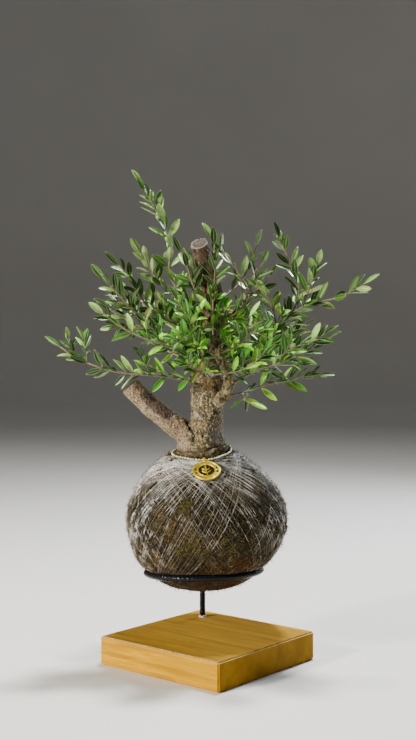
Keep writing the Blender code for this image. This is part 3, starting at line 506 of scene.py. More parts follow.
def dressed(name, mesh, paints, replaces, marks, paint_of=()):
    """Puts a mesh on the part's body; marks are four numbers a point, for its material."""
    for paint in paints:
        mesh.materials.append(paint)
    mesh.polygons.foreach_set("use_smooth", [True] * len(mesh.polygons))
    if paint_of:
        mesh.polygons.foreach_set("material_index", paint_of)
    if marks:
        layer = mesh.color_attributes.new("mark", "FLOAT_COLOR", "POINT")
        layer.data.foreach_set("color", [c for mark in marks for c in mark])
    mesh.update()
    made = linked(name, mesh)
    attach(made, BODY)
    if replaces:
        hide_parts(*replaces)


def linked(name, data):
    """A new object in the scene."""
    made = bpy.data.objects.new(name, data)
    bpy.context.scene.collection.objects.link(made)
    return made


def wood_paint():
    """Honey-coloured softwood under satin lacquer, grain along the block's front left side; its top and end
    faces carry painted shade and its worn top edges a painted highlight.
    """
    p = Paint("honey_wood")
    turned = p.stretched((1.0, 1.0, 1.0), (0.0, 0.0, -BLOCK_TURN))
    wander = p.add("TexNoise", {"Vector": p.stretched((0.25, 1.0, 1.0), vector=turned), "Scale": 16.0,
                                "Detail": 2.0}).outputs["Color"]
    shift = p.add("VectorMath", {0: wander, 1: (0.004, 0.012, 0.016)},
                  operation="MULTIPLY").outputs["Vector"]
    bent = p.add("VectorMath", {0: p.stretched((0.05, 1.0, 1.0), vector=turned), 1: shift},
                 operation="ADD").outputs["Vector"]
    rings = p.noise(7.5, 3.0, 0.5, 0.6, p.stretched((1.0, 1.0, 0.7), vector=bent))
    fine_rings = p.noise(2.1, 3.0, 0.6, 0.3, bent)
    fibres = p.noise(0.8, 4.0, 0.65, vector=bent)
    broad = p.noise(30.0, 3.0, vector=p.stretched((0.3, 1.0, 1.0), vector=turned))
    base = p.ramp(rings, [(0.28, 0.30, 0.132, 0.001), (0.42, 0.52, 0.255, 0.002),
                          (0.55, 0.69, 0.350, 0.003), (0.75, 0.78, 0.415, 0.004)])
    base = p.mix(p.spread(fine_rings, 0.40, 0.62, 0.45, 0.0), base, (0.28, 0.140, 0.004))
    base = p.mix(p.spread(broad, 0.35, 0.65, 0.0, 0.45), base, (0.40, 0.215, 0.005))
    base = p.mix(p.spread(fibres, 0.50, 0.75, 0.0, 0.30), base, (0.19, 0.085, 0.003))
    half = BLOCK_HALF * MM
    along = p.math("ABSOLUTE", p.axis("X", turned))
    side = p.math("MAXIMUM", along, p.math("ABSOLUTE", p.axis("Y", turned)))
    chips = p.noise(5.0, 5.0, 0.7)
    rim = p.spread(p.plus(side, p.times(chips, 0.0016)), half - 0.0009, half + 0.0004)
    top = p.spread(p.axis("Z", turned), (BLOCK_HEIGHT - 1.9) * MM, (BLOCK_HEIGHT - 0.9) * MM)
    worn_and_lit = p.times(rim, top)
    # End grain on the two end faces, darker than the wood's own end grain as painted shade.
    end = p.spread(along, half - 0.0004, half - 0.0001, 0.0, 0.85)
    base = p.mix(end, base, (0.300, 0.155, 0.008))
    end_streaks = p.noise(14.0, 4.0, 0.6, 0.5, p.stretched((1.0, 1.0, 0.8), (0.6, 0.0, 0.0), turned))
    streaked = p.times(end, p.spread(end_streaks, 0.36, 0.70, 0.0, 0.55))
    base = p.mix(streaked, base, (0.145, 0.068, 0.002))
    # Painted shade: the top is darkened to olive as if in the shadow of the ball.
    base = p.mix(p.times(top, 0.45), base, (0.150, 0.112, 0.040))
    # Pale top edges: lacquer wear, and a painted highlight where the rounded edges catch light.
    base = p.mix(worn_and_lit, base, (0.88, 0.70, 0.36))
    p.set(Base_Color=base, Roughness=p.spread(fibres, 0.2, 0.8, 0.45, 0.60), Specular_IOR_Level=0.04,
          Normal=p.bump(fibres, 0.3, 0.15, p.bump(rings, 0.15, 0.25)))
    return p.material


def steel_paint():
    """Black gloss paint on ribbed steel, a little thin and dull on the ribs."""
    p = Paint("black_gloss")
    wear = p.noise(2.2, 5.0, 0.7)
    base = p.mix(p.spread(wear, 0.62, 0.78), (0.006, 0.007, 0.009), (0.035, 0.034, 0.036))
    p.set(Base_Color=base, Roughness=p.spread(wear, 0.3, 0.75, 0.10, 0.24), Specular_IOR_Level=0.10,
          Coat_Weight=0.05, Coat_Roughness=0.05, Normal=p.bump(p.noise(1.1, 3.0), 0.25, 0.12))
    return p.material


def glue_paint():
    """Dried glue, milky and a little see-through."""
    p = Paint("pale_glue")
    milky = p.noise(1.6, 4.0)
    p.set(Base_Color=p.ramp(milky, [(0.35, 0.30, 0.24, 0.13), (0.65, 0.70, 0.66, 0.54)]),
          Roughness=p.spread(milky, 0.3, 0.7, 0.25, 0.6), Subsurface_Weight=0.3,
          Subsurface_Radius=(0.002, 0.002, 0.0015), Normal=p.bump(milky, 0.5, 0.3))
    return p.material


def moss_paint():
    """Dried moss and soil with brown, olive and straw-coloured grains, near black in the hollows as painted
    shade, and rust-brown low down, partly as painted warm light thrown up from below.
    """
    p = Paint("dry_moss")
    broad = p.noise(19.0, 3.0, 0.6, 0.4)
    clumps = p.noise(6.0, 4.0, 0.65, 0.8)
    grains = p.noise(1.5, 5.0, 0.8, 0.4)
    brown = p.ramp(grains, [(0.38, 0.005, 0.003, 0.001), (0.48, 0.030, 0.019, 0.007),
                            (0.56, 0.13, 0.085, 0.028), (0.66, 0.50, 0.360, 0.150)])
    green = p.ramp(grains, [(0.38, 0.005, 0.005, 0.001), (0.48, 0.030, 0.029, 0.005),
                            (0.56, 0.12, 0.105, 0.016), (0.66, 0.42, 0.360, 0.085)])
    base = p.mix(p.spread(broad, 0.46, 0.62, 0.0, 0.7), brown, green)
    # Painted shade: near black in the hollows of the clumps' relief.
    base = p.mix(p.spread(clumps, 0.40, 0.56, 0.92, 0.0), base, (0.007, 0.005, 0.002))
    deep = p.noise(46.0, 2.0, 0.5)
    base = p.mix(p.spread(deep, 0.47, 0.60, 0.0, 0.8), base, (0.009, 0.008, 0.004))
    mossy, leafy, tuft_rust_and_bounce = p.mark()[:3]
    olive = p.ramp(grains, [(0.38, 0.007, 0.007, 0.002), (0.51, 0.044, 0.039, 0.010),
                            (0.66, 0.24, 0.210, 0.070)])
    dark = p.ramp(grains, [(0.40, 0.005, 0.004, 0.002), (0.56, 0.034, 0.028, 0.012),
                           (0.68, 0.16, 0.125, 0.055)])
    base = p.mix(p.times(mossy, 0.85), base, p.mix(leafy, dark, olive))
    height = p.axis("Z")
    # Rust-brown low on the ball and on some tufts: partly painted warm light thrown up from the wood below.
    low = p.spread(p.plus(height, p.times(broad, 0.04)), 0.092, 0.124, 0.75, 0.0)
    rust_and_bounce = p.ramp(grains, [(0.36, 0.014, 0.004, 0.001), (0.56, 0.085, 0.030, 0.004),
                           (0.70, 0.26, 0.100, 0.012)])
    base = p.mix(p.math("MAXIMUM", low, p.times(tuft_rust_and_bounce, 0.8)), base, rust_and_bounce)
    p.set(Base_Color=base, Roughness=0.95, Specular_IOR_Level=0.12,
          Normal=p.bump(grains, 1.0, 1.1, p.bump(clumps, 0.7, 1.8)))
    return p.material


def fuzz_paint():
    """Dead moss fibres, each from dark brown to straw."""
    p = Paint("moss_fibres")
    shade = p.mark()[0]
    height = p.axis("Z")
    base = p.ramp(shade, [(0.0, 0.018, 0.012, 0.005), (0.45, 0.060, 0.048, 0.014),
                          (0.78, 0.20, 0.165, 0.045), (1.0, 0.46, 0.390, 0.160)])
    # Orange-brown low down, partly painted warm light thrown up from below.
    base = p.mix(p.spread(height, 0.075, 0.112, 0.85, 0.0), base, (0.085, 0.032, 0.006))
    base = p.mix(p.spread(p.noise(2.0), 0.4, 0.6, 0.0, 0.4), base, (0.03, 0.02, 0.008))
    p.set(Base_Color=base, Roughness=0.85, Specular_IOR_Level=0.2)
    return p.material


def thread_paint(name, dull, pale):
    """Twisted thread; every turn has its own shade, rubbed with earth, browner towards the underside, paler
    on the top as painted light and near black at the bottom as painted shade.
    """
    p = Paint(name)
    shade = p.mark()[0]
    dirt = p.noise(9.0, 4.0, 0.7)
    height = p.axis("Z")
    base = p.mix(shade, dull, pale)
    # Browner towards the underside.
    base = p.mix(p.spread(height, 0.095, 0.155, 0.7, 0.0), base, (0.20, 0.125, 0.050))
    # Painted shade: near black at the very bottom, under the ball.
    base = p.mix(p.spread(height, 0.074, 0.096, 0.9, 0.0), base, (0.040, 0.020, 0.007))
    patchy = p.noise(26.0, 3.0, 0.6)
    # Earth and soil patches, thinner on the top, which makes the top paler as painted light.
    earth_and_shading = p.times(p.spread(patchy, 0.46, 0.60, 0.0, 0.75),
                     p.spread(height, 0.165, 0.190, 1.0, 0.35))
    base = p.mix(earth_and_shading, base, (0.10, 0.080, 0.045))
    soil_and_top_light = p.times(p.spread(dirt, 0.42, 0.57, 0.0, 0.92),
                     p.spread(height, 0.160, 0.185, 1.0, 0.35))
    base = p.mix(soil_and_top_light, base, (0.034, 0.024, 0.011))
    p.set(Base_Color=base, Roughness=0.5, Specular_IOR_Level=0.4, Sheen_Weight=0.2, Sheen_Roughness=0.4,
          Normal=p.bump(p.noise(0.5, 2.0), 0.5, 0.15))
    return p.material


def bark_paint():
    """Olive bark, tan and speckled below, dark and reddish above, with cracks, a scar and cut faces; painted
    shade darkens its foot, fold, groove and hollow, and painted light brightens its knee-shaped limb.
    """
    p = Paint("olive_bark_fine")
    cut, scar, low, worn_and_lit = p.mark()
    broad = p.noise(13.0, 4.0, 0.6, 0.5)
    mottle = p.noise(3.2, 6.0, 0.75, 0.6, p.stretched((1.0, 1.0, 0.5)))
    speck = p.noise(1.1, 4.0, 0.8)
    crack = p.noise(2.3, 5.0, 0.75, 1.2, p.stretched((1.0, 1.0, 0.20)))
    height = p.axis("Z")
    tan = p.ramp(mottle, [(0.32, 0.026, 0.020, 0.009), (0.45, 0.095, 0.080, 0.038),
                          (0.57, 0.26, 0.225, 0.115), (0.72, 0.50, 0.445, 0.280)])
    dark = p.ramp(mottle, [(0.30, 0.022, 0.015, 0.010), (0.47, 0.085, 0.058, 0.036),
                           (0.62, 0.20, 0.145, 0.095), (0.80, 0.36, 0.280, 0.190)])
    red = p.ramp(mottle, [(0.32, 0.040, 0.016, 0.008), (0.52, 0.150, 0.062, 0.028),
                          (0.75, 0.34, 0.180, 0.090)])
    green = p.ramp(mottle, [(0.34, 0.022, 0.018, 0.008), (0.46, 0.115, 0.100, 0.046),
                            (0.57, 0.34, 0.310, 0.165), (0.70, 0.62, 0.570, 0.370)])
    fine = p.noise(2.0, 5.0, 0.85)
    tan = p.mix(p.spread(fine, 0.53, 0.59, 0.0, 0.80), tan, (0.62, 0.540, 0.370))
    tan = p.mix(p.spread(fine, 0.43, 0.50, 0.97, 0.0), tan, (0.016, 0.012, 0.006))
    sideways = p.axis("X")
    smooth = p.ramp(fine, [(0.36, 0.060, 0.038, 0.022), (0.48, 0.23, 0.165, 0.105),
                           (0.62, 0.43, 0.335, 0.230)])
    left = p.spread(p.plus(sideways, p.times(broad, 0.02)), -0.016, -0.004, 0.85, 0.0)
    tan = p.mix(left, tan, smooth)
    lichen = p.noise(17.0, 4.0, 0.65)
    tan = p.mix(p.spread(lichen, 0.56, 0.66, 0.0, 0.5), tan, (0.46, 0.430, 0.390))
    off = p.math("ABSOLUTE", p.math("SUBTRACT", sideways, 0.0095))
    above = p.math("ABSOLUTE", p.math("SUBTRACT", height, 0.226))
    patch = p.plus(p.plus(off, above), p.times(lichen, 0.012))
    ashen = p.ramp(fine, [(0.40, 0.040, 0.040, 0.045), (0.50, 0.20, 0.205, 0.22),
                          (0.62, 0.46, 0.465, 0.48)])
    tan = p.mix(p.spread(patch, 0.013, 0.019, 0.75, 0.0), tan, ashen)
    rise = p.plus(height, p.times(broad, 0.06))
    base = p.mix(p.spread(rise, 0.285, 0.345), tan, p.mix(p.spread(broad, 0.46, 0.58), dark, red))
    base = p.mix(p.spread(rise, 0.385, 0.410), base, p.mix(0.55, dark, (0.020, 0.014, 0.010)))
    spur = p.times(p.spread(sideways, 0.008, 0.018), p.spread(height, 0.326, 0.334))
    reddish = p.ramp(mottle, [(0.32, 0.070, 0.036, 0.022), (0.52, 0.26, 0.150, 0.095),
                              (0.75, 0.50, 0.350, 0.240)])
    base = p.mix(p.times(spur, 0.8), base, reddish)
    # Greener, paler bark in patches and on the knee-shaped limb; the limb's bark is brightened as painted
    # light where the crown shades it.
    base = p.mix(p.math("MAXIMUM", p.spread(broad, 0.56, 0.66, 0.0, 0.5), worn_and_lit), base, green)
    elsewhere = p.add("VectorMath", {0: p.place, 1: (0.3, 0.1, 0.2)}).outputs["Vector"]
    ochre = p.noise(9.0, 4.0, 0.7, 0.4, elsewhere)
    bright = p.times(p.spread(ochre, 0.54, 0.66), p.spread(sideways, -0.018, -0.006))
    base = p.mix(p.times(bright, 0.6), base, (0.30, 0.165, 0.045))
    base = p.mix(p.spread(speck, 0.30, 0.44, 0.75, 0.0), base, (0.030, 0.020, 0.010))
    blotches = p.noise(5.0, 5.0, 0.7, 0.8)
    blotched = p.times(p.spread(blotches, 0.49, 0.56, 0.0, 0.72),
                       p.spread(sideways, -0.018, -0.008, 0.25, 1.0))
    blotch = p.mix(p.spread(ochre, 0.45, 0.55), (0.040, 0.027, 0.013), (0.110, 0.060, 0.018))
    base = p.mix(blotched, base, blotch)
    base = p.mix(p.spread(crack, 0.34, 0.44, 0.9, 0.0), base, (0.022, 0.014, 0.008))
    # Low mark: soil stain and painted shade at the foot, painted shade in the fold, the groove and the
    # hollow, and the knots' dark middles.
    base = p.mix(p.times(low, p.spread(mottle, 0.3, 0.7, 0.95, 0.6)), base, (0.050, 0.032, 0.015))
    base = p.mix(p.spread(low, 0.86, 0.98, 0.0, 0.9), base, (0.010, 0.007, 0.004))
    brown = p.ramp(fine, [(0.40, 0.010, 0.007, 0.006), (0.50, 0.070, 0.044, 0.034),
                          (0.62, 0.25, 0.165, 0.130)])
    base = p.mix(p.times(scar, 0.92), base, brown)
    grain = p.noise(1.0, 5.0, 0.7, 0.6)
    pale = p.ramp(grain, [(0.3, 0.055, 0.040, 0.026), (0.7, 0.23, 0.180, 0.120)])
    rough = p.ramp(p.noise(1.6, 5.0, 0.8, 0.8), [(0.36, 0.006, 0.005, 0.004), (0.50, 0.030, 0.022, 0.016),
                                                 (0.64, 0.13, 0.098, 0.070)])
    base = p.mix(p.spread(cut, 0.05, 0.45), base, pale)
    base = p.mix(p.spread(cut, 0.55, 0.95), base, rough)
    p.set(Base_Color=base, Roughness=p.spread(mottle, 0.3, 0.7, 0.92, 0.72), Specular_IOR_Level=0.25,
          Normal=p.bump(crack, 0.8, 0.9, p.bump(mottle, 0.8, 0.9)))
    return p.material


def twig_paint():
    """Young wood: grey-brown at the foot, olive towards the tip."""
    p = Paint("young_bark")
    age = p.mark()[0]
    mottle = p.noise(1.5, 4.0, 0.65, 0.3)
    old = p.ramp(mottle, [(0.3, 0.045, 0.034, 0.022), (0.7, 0.24, 0.195, 0.135)])
    young = p.ramp(mottle, [(0.3, 0.060, 0.062, 0.015), (0.7, 0.21, 0.21, 0.075)])
    p.set(Base_Color=p.mix(p.spread(age, 0.35, 1.0), old, young), Roughness=0.7,
          Specular_IOR_Level=0.3, Normal=p.bump(mottle, 0.4, 0.3))
    return p.material


def leaf_paint(name, under):
    """Leathery olive leaf; marks hold the share along it, the distance from its rib, tint and age."""
    p = Paint(name)
    along, across, tint, outer = p.mark()
    blotch = p.noise(2.6, 3.0, 0.6)
    if under:
        fresh = p.mix(tint, (0.028, 0.14, 0.003), (0.26, 0.58, 0.04))
        grown = p.ramp(tint, [(0.0, 0.022, 0.050, 0.008), (0.45, 0.095, 0.165, 0.040),
                              (0.90, 0.46, 0.62, 0.28), (1.0, 0.20, 0.190, 0.060)])
        rib_colour = (0.42, 0.58, 0.22)
    else:
        fresh = p.ramp(tint, [(0.0, 0.003, 0.026, 0.001), (0.28, 0.006, 0.070, 0.001),
                              (0.56, 0.040, 0.320, 0.002), (0.86, 0.380, 0.940, 0.012),
                              (1.0, 0.110, 0.110, 0.012)])
        grown = p.ramp(tint, [(0.0, 0.004, 0.018, 0.002), (0.30, 0.007, 0.034, 0.002),
                              (0.60, 0.055, 0.160, 0.017), (0.88, 0.460, 0.740, 0.230),
                              (1.0, 0.115, 0.098, 0.020)])
        rib_colour = (0.30, 0.50, 0.14)
    base = p.mix(outer, fresh, grown)
    base = p.mix(p.spread(blotch, 0.35, 0.7, 0.0, 0.40), base, (0.018, 0.045, 0.005))
    base = p.mix(p.spread(along, 0.10, 0.75, 0.35, 0.0), base, (0.012, 0.035, 0.003))
    rib = p.spread(across, 0.05, 0.17, 0.75, 0.0)
    base = p.mix(rib, base, rib_colour)
    base = p.mix(p.spread(across, 0.80, 1.0, 0.0, 0.7), base, rib_colour)
    base = p.mix(p.spread(along, 0.02, 0.14, 0.6, 0.0), base, (0.30, 0.36, 0.07))
    veins = p.add("TexWave", {"Vector": p.place, "Scale": 380.0, "Distortion": 3.0, "Detail": 2.0},
                  bands_direction="DIAGONAL").outputs["Fac"]
    p.set(Base_Color=base, Roughness=0.6 if under else p.spread(blotch, 0.3, 0.7, 0.28, 0.44),
          Specular_IOR_Level=0.12 if under else 0.34,
          Coat_Weight=0.0 if under else 0.16, Coat_Roughness=0.18,
          Normal=p.bump(veins, 0.12, 0.1, p.bump(blotch, 0.2, 0.2)))
    return p.material


def chain_paint():
    """Bright metal beads, tinted green by a painted reflection of their surroundings."""
    p = Paint("bright_chain")
    tone = p.noise(2.6, 2.0)
    base = p.ramp(tone, [(0.38, 0.40, 0.50, 0.22), (0.52, 0.84, 0.82, 0.62), (0.68, 0.92, 0.90, 0.82)])
    p.set(Base_Color=base, Metallic=0.45, Roughness=p.spread(tone, 0.3, 0.7, 0.18, 0.34),
          Normal=p.bump(p.noise(0.6, 2.0), 0.15, 0.05))
    return p.material


def gold_paint():
    """Stamped yellow metal; the first mark is how deep a point lies, where the gilding is dark."""
    p = Paint("yellow_gilt")
    deep = p.mark()[0]
    tone = p.noise(1.4, 4.0, 0.6)
    base = p.ramp(tone, [(0.3, 0.60, 0.410, 0.015), (0.7, 0.88, 0.680, 0.055)])
    base = p.mix(deep, base, (0.024, 0.014, 0.004))
    p.set(Base_Color=base, Metallic=0.7, Roughness=p.spread(tone, 0.3, 0.7, 0.32, 0.52),
          Specular_IOR_Level=0.3, Normal=p.bump(p.noise(0.45, 3.0), 0.3, 0.06))
    return p.material


def clamped(x):
    """The nearest number from 0 to 1."""
    return min(1.0, max(0.0, x))


def step(x, low, high):
    """Rises smoothly from 0 at low to 1 at high."""
    s = clamped((x - low) / (high - low))
    return s * s * (3 - 2 * s)


def between(table, x, turn=None):
    """Value from a table of (x, value) pairs; turn closes the table on itself and smooths it."""
    rows = list(table)
    if turn:
        x = x % turn
        rows.append((rows[0][0] + turn, rows[0][1]))
    if x <= rows[0][0]:
        return rows[0][1]
    for (x0, a), (x1, b) in zip(rows, rows[1:]):
        if x <= x1:
            s = (x - x0) / (x1 - x0)
            if turn:
                s = s * s * (3 - 2 * s)
            return a + (b - a) * s
    return rows[-1][1]


def circle(count):
    """Cosine and sine of even steps once round."""
    turns = [2 * math.pi * k / count for k in range(count)]
    return [(math.cos(t), math.sin(t)) for t in turns]


def rings_to_faces(count, sides, closed):
    """Quads between rings of points; closed joins the last ring to the first."""
    faces = []
    for i in range(count if closed else count - 1):
        a = i * sides
        b = (i + 1) % count * sides
        for k in range(sides):
            m = (k + 1) % sides
            faces.append((a + k, a + m, b + m, b + k))
    return faces


def tube_faces(count, sides):
    """Faces of rings of points, with a flat face at either end."""
    last = (count - 1) * sides
    ends = [tuple(range(sides - 1, -1, -1)), tuple(range(last, last + sides))]
    return rings_to_faces(count, sides, False) + ends


def turned_over(faces):
    """Faces that look the other way."""
    return [tuple(reversed(f)) for f in faces]


def frames_along(points, first=None):
    """Directions and side vectors carried along a route without twisting."""
    steps = [(b - a).normalized() for a, b in zip(points, points[1:])]
    along = [steps[0]]
    along += [(a + b).normalized() for a, b in zip(steps, steps[1:])]
    along.append(steps[-1])
    side = first if first is not None else Vector((0.13, -1.0, 0.07))
    frames = []
    for d in along:
        side = (side - d * side.dot(d)).normalized()
        frames.append((d, side, d.cross(side)))
    return frames


def tube(points, radii, sides, swell=None):
    """Points and faces of a closed tube; swell(i, t) gives a factor on its radius."""
    points = [Vector(p) for p in points]
    ring_points = []
    for i, (p, r, (d, u, w)) in enumerate(zip(points, radii, frames_along(points))):
        for k in range(sides):
            t = 2 * math.pi * k / sides
            far = r * (swell(i, t) if swell else 1.0)
            ring_points.append(p + (u * math.cos(t) + w * math.sin(t)) * far)
    return ring_points, tube_faces(len(points), sides)


def lathe(profile, steps, close):
    """Solid of revolution about Z from (radius, z) pairs; close joins the last pair to the first."""
    points = []
    rows = []
    for r, z in profile:
        if r == 0.0:
            rows.append([len(points)] * steps)
            points.append((0.0, 0.0, z))
        else:
            rows.append(list(range(len(points), len(points) + steps)))
            points += [(r * c, r * s, z) for c, s in circle(steps)]
    pairs = list(zip(rows, rows[1:]))
    if close:
        pairs.append((rows[-1], rows[0]))
    faces = []
    for low, high in pairs:
        for k in range(steps):
            m = (k + 1) % steps
            face = [low[k], low[m], high[m], high[k]]
            face = [v for i, v in enumerate(face) if v != face[i - 1]]
            if len(face) > 2:
                faces.append(tuple(face))
    return points, faces


def moved(points, matrix):
    """Points turned and shifted by a matrix."""
    return [matrix @ Vector(p) for p in points]


def curve_point(a, b, c, d, t):
    """Catmull-Rom curve between b and c."""
    return 0.5 * ((2 * b) + (c - a) * t + (2 * a - 5 * b + 4 * c - d) * t * t
                  + (3 * b - a - 3 * c + d) * t * t * t)


def smooth_route(points, spacing):
    """Route through the given points as a soft curve, with even steps."""
    points = [Vector(p) for p in points]
    ends = [points[0] * 2 - points[1]] + points + [points[-1] * 2 - points[-2]]
    fine = []
    for i in range(1, len(ends) - 2):
        for s in range(8):
            fine.append(curve_point(*ends[i - 1:i + 3], s / 8))
    fine.append(points[-1])
    lengths = [0.0]
    for a, b in zip(fine, fine[1:]):
        lengths.append(lengths[-1] + (b - a).length)
    count = max(2, round(lengths[-1] / spacing))
    route = []
    j = 0
    for i in range(count + 1):
        want = lengths[-1] * i / count
        while j < len(fine) - 2 and lengths[j + 1] < want:
            j += 1
        s = (want - lengths[j]) / max(1e-9, lengths[j + 1] - lengths[j])
        route.append(fine[j].lerp(fine[j + 1], min(1.0, s)))
    return route


def nearest_on_line(spot, a, b):
    """Share of the way from a to b that is nearest to a point, and how far off the point lies."""
    line = b - a
    share = clamped((spot - a).dot(line) / line.length_squared)
    return share, (spot - a - line * share).length


def search_tree(node):
    """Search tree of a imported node, in millimetres."""
    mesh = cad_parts[node].data
    mesh.calc_loop_triangles()
    corners = [v.co / MM for v in mesh.vertices]
    return BVHTree.FromPolygons(corners, [tuple(t.vertices) for t in mesh.loop_triangles])


def direction(azimuth, angle):
    """Unit vector from an azimuth and an angle from straight up, in degrees."""
    a = math.radians(azimuth)
    p = math.radians(angle)
    return Vector((math.sin(p) * math.cos(a), math.sin(p) * math.sin(a), math.cos(p)))


RING_TURN = Matrix.Rotation(RING_BACK_DOWN, 3, "X") @ Matrix.Rotation(RING_LEFT_DOWN, 3, "Y")
RING_BACK = RING_TURN.transposed()


def ring_room(point):
    """How far a point of the moss lies inside the room that the ring's bar needs."""
    q = RING_BACK @ (point - Vector((RING_X, RING_Y, RING_Z)))
    return BAR_RIB_RADIUS + 4 * GAP - math.hypot(math.hypot(q.x, q.y) - RING_RADIUS, q.z)


def ball_point(azimuth, angle, lift=0.0):
    """Point on the root ball's skin, azimuth and angle from straight up in degrees."""
    a = math.radians(azimuth)
    p = math.radians(angle)
    lumps = math.sin(3 * a + 0.6) * math.sin(2.4 * p) + 0.7 * math.sin(5 * a + 3 * p)
    lumps *= LUMP_HEIGHT * step(angle, 34, 60) * (1 - step(angle, 100, 122))
    far = between(BALL_SHAPE, angle) + lumps
    if angle > 105:
        for press in range(12):
            inside = ring_room(ball_skin(a, p, far))
            if inside <= 0.0:
                break
            far -= inside
    return ball_skin(a, p, far + lift)


def ball_skin(a, p, far):
    """Point at a distance from the ball's middle, with the neck and the foot shifted."""
    x = far * math.sin(p) * math.cos(a)
    y = far * math.sin(p) * math.sin(a)
    z = far * math.cos(p)
    x += NECK_SHIFT * step(z, 20, 62) + FOOT_SHIFT * (1 - step(z, -58, -14))
    z += step(z, 34, 62) * (NECK_TILT_FRONT * math.sin(a) + NECK_TILT_LEFT * math.cos(a))
    return Vector((BALL_X + x, BALL_Y + y, BALL_Z + z))


def clear_of_ring(point):
    """0 where the ring's bar presses the moss, 1 away from it."""
    return step(-ring_room(point), 0.2, 5.0)


def moss_broad(d):
    """Broad relief of the moss in a direction from the ball's middle, flatter on the shoulders."""
    return MOSS_BROAD * (1 - 0.6 * step(d.z, 0.15, 0.5)) * (noise.fractal(d * 5.5, 0.9, 2.1, 3) - 0.1)


def moss_fine(d):
    """Fine relief of the moss in a direction from the ball's middle, flatter on the shoulders."""
    relief = noise.fractal(d * 30.0 + Vector((7.0, 3.0, 1.0)), 0.7, 2.2, 3)
    return MOSS_FINE * (1 - 0.5 * step(d.z, 0.15, 0.5)) * relief


TUFT_PLACES = [(direction(azimuth, angle), math.radians(size), leafy, tuft_rust_and_bounce)
               for azimuth, angle, size, leafy, tuft_rust_and_bounce in TUFTS]


def tuft(d):
    """How much moss covers the thread in a direction from the ball's middle, how green, and how rust-brown,
    the rust-brown partly painted warm bounce light.
    """
    rough = 0.5 * noise.noise(d * 15.0) + 0.3 * noise.noise(d * 31.0)
    bare = 0.22 * step(-d.x, 0.35, 0.7) * step(-d.y, -0.1, 0.3)
    cover = step(noise.noise(d * 4.4 + Vector((5.0, 2.0, 8.0))) + rough - bare, 0.22, 0.62)
    green = 0.55 * step(noise.noise(d * 2.7 + Vector((1.0, 9.0, 4.0))), 0.05, 0.40)
    rust_and_bounce = 0.0
    for place, size, leafy, tuft_rust_and_bounce in TUFT_PLACES:
        near = 1 - step(d.angle(place) + 0.16 * rough, 0.3 * size, size)
        green += (leafy - green) * near
        rust_and_bounce = max(rust_and_bounce, tuft_rust_and_bounce * near)
        cover = max(cover, near)
    return cover, green, rust_and_bounce


def moss_relief(d, cover, room):
    """How far the moss stands out, with the tufts on it, less where the ring presses it."""
    return (moss_broad(d) + moss_fine(d) + TUFT_HEIGHT * cover) * room


def build_moss(paint):
    """The ball's skin with its tufts and hollows, closed by a flat floor below the neck's rim."""
    form = Form()
    for row in range(MOSS_ROWS + 1):
        angle = MOSS_TOP_ANGLE + (MOSS_LOW_ANGLE - MOSS_TOP_ANGLE) * row / MOSS_ROWS
        for column in range(MOSS_COLUMNS):
            azimuth = 360.0 * column / MOSS_COLUMNS
            d = direction(azimuth, angle)
            plain = ball_point(azimuth, angle)
            cover, green, rust_and_bounce = tuft(d)
            relief = moss_relief(d, cover, clear_of_ring(plain))
            form.points.append(ball_point(azimuth, angle, relief))
            form.marks.append((cover, green, rust_and_bounce, 1.0))
    points = form.points
    faces = turned_over(rings_to_faces(MOSS_ROWS + 1, MOSS_COLUMNS, False))
    foot = len(points)
    points.append(ball_point(0, 180.0))
    first = len(points)
    last = MOSS_ROWS * MOSS_COLUMNS
    around = [(k, (k + 1) % MOSS_COLUMNS) for k in range(MOSS_COLUMNS)]
    faces += [(last + m, last + k, foot) for k, m in around]
    points += [Vector((p.x, p.y, p.z - NECK_DEPTH)) for p in points[:MOSS_COLUMNS]]
    faces += [(k, m, first + m, first + k) for k, m in around]
    faces.append(tuple(range(first, first + MOSS_COLUMNS)))
    form.faces = faces
    form.marks += [(0.0, 0.0, 1.0, 1.0)] * (len(points) - len(form.marks))
    piece("moss_ball", form, [paint], ["root_ball"])


def build_fuzz(paint):
    """Short fibres that stand off the moss."""
    draw = random.Random(FUZZ_SEED)
    form = Form()
    for n in range(FUZZ_COUNT):
        azimuth = 360.0 * draw.random()
        angle = math.degrees(math.acos(1 - 1.93 * draw.random()))
        angle = max(angle, MOSS_TOP_ANGLE + 2.0 * draw.random())
        d = direction(azimuth, angle)
        room = clear_of_ring(ball_point(azimuth, angle))
        root = ball_point(azimuth, angle, moss_relief(d, tuft(d)[0], room) - FUZZ_SUNK)
        length = (1.5 + 3.9 * draw.random() ** 1.7) * (0.22 + 0.78 * room)
        lean = Vector([draw.uniform(-1, 1) for axis in range(3)])
        out = (d + lean * 1.5).normalized()
        if out.dot(d) < 0.2:
            out = (out + d).normalized()
        side = out.orthogonal().normalized()
        other = out.cross(side)
        wide = 0.15 + 0.15 * draw.random()
        bend = lean * 0.35 * length
        points = []
        for share, thick in ((0.0, 1.0), (0.55, 0.7)):
            at = root + out * length * share + bend * share * share
            points += [at + (side * c + other * s) * wide * thick for c, s in circle(3)]
        points.append(root + out * length + bend)
        form.take(points, FIBRE_FACES, [one_mark(draw.random())] * len(points))
    piece("moss_fuzz", form, [paint])


def rubbed_and_lit(d):
    """How much paler the thread is in a direction from the ball's middle: cleaner and paler on the left and
    the upper right shoulder, partly as painted light, earthier and darker low in the middle of the front,
    partly as painted shade.
    """
    front = step(-d.y, -0.1, 0.4)
    earth_and_shading = (1 - step(abs(d.x), 0.2, 0.5)) * step(-d.z, -0.45, 0.0)
    # Painted light: the upper right shoulder paler where light falls on it.
    shoulder = 0.25 * step(d.x, 0.1, 0.3) * step(d.z, 0.3, 0.5)
    return front * (0.55 * step(-d.x, 0.3, 0.65) + 0.20 * step(d.x, 0.35, 0.6) + shoulder - 0.36 * earth_and_shading)


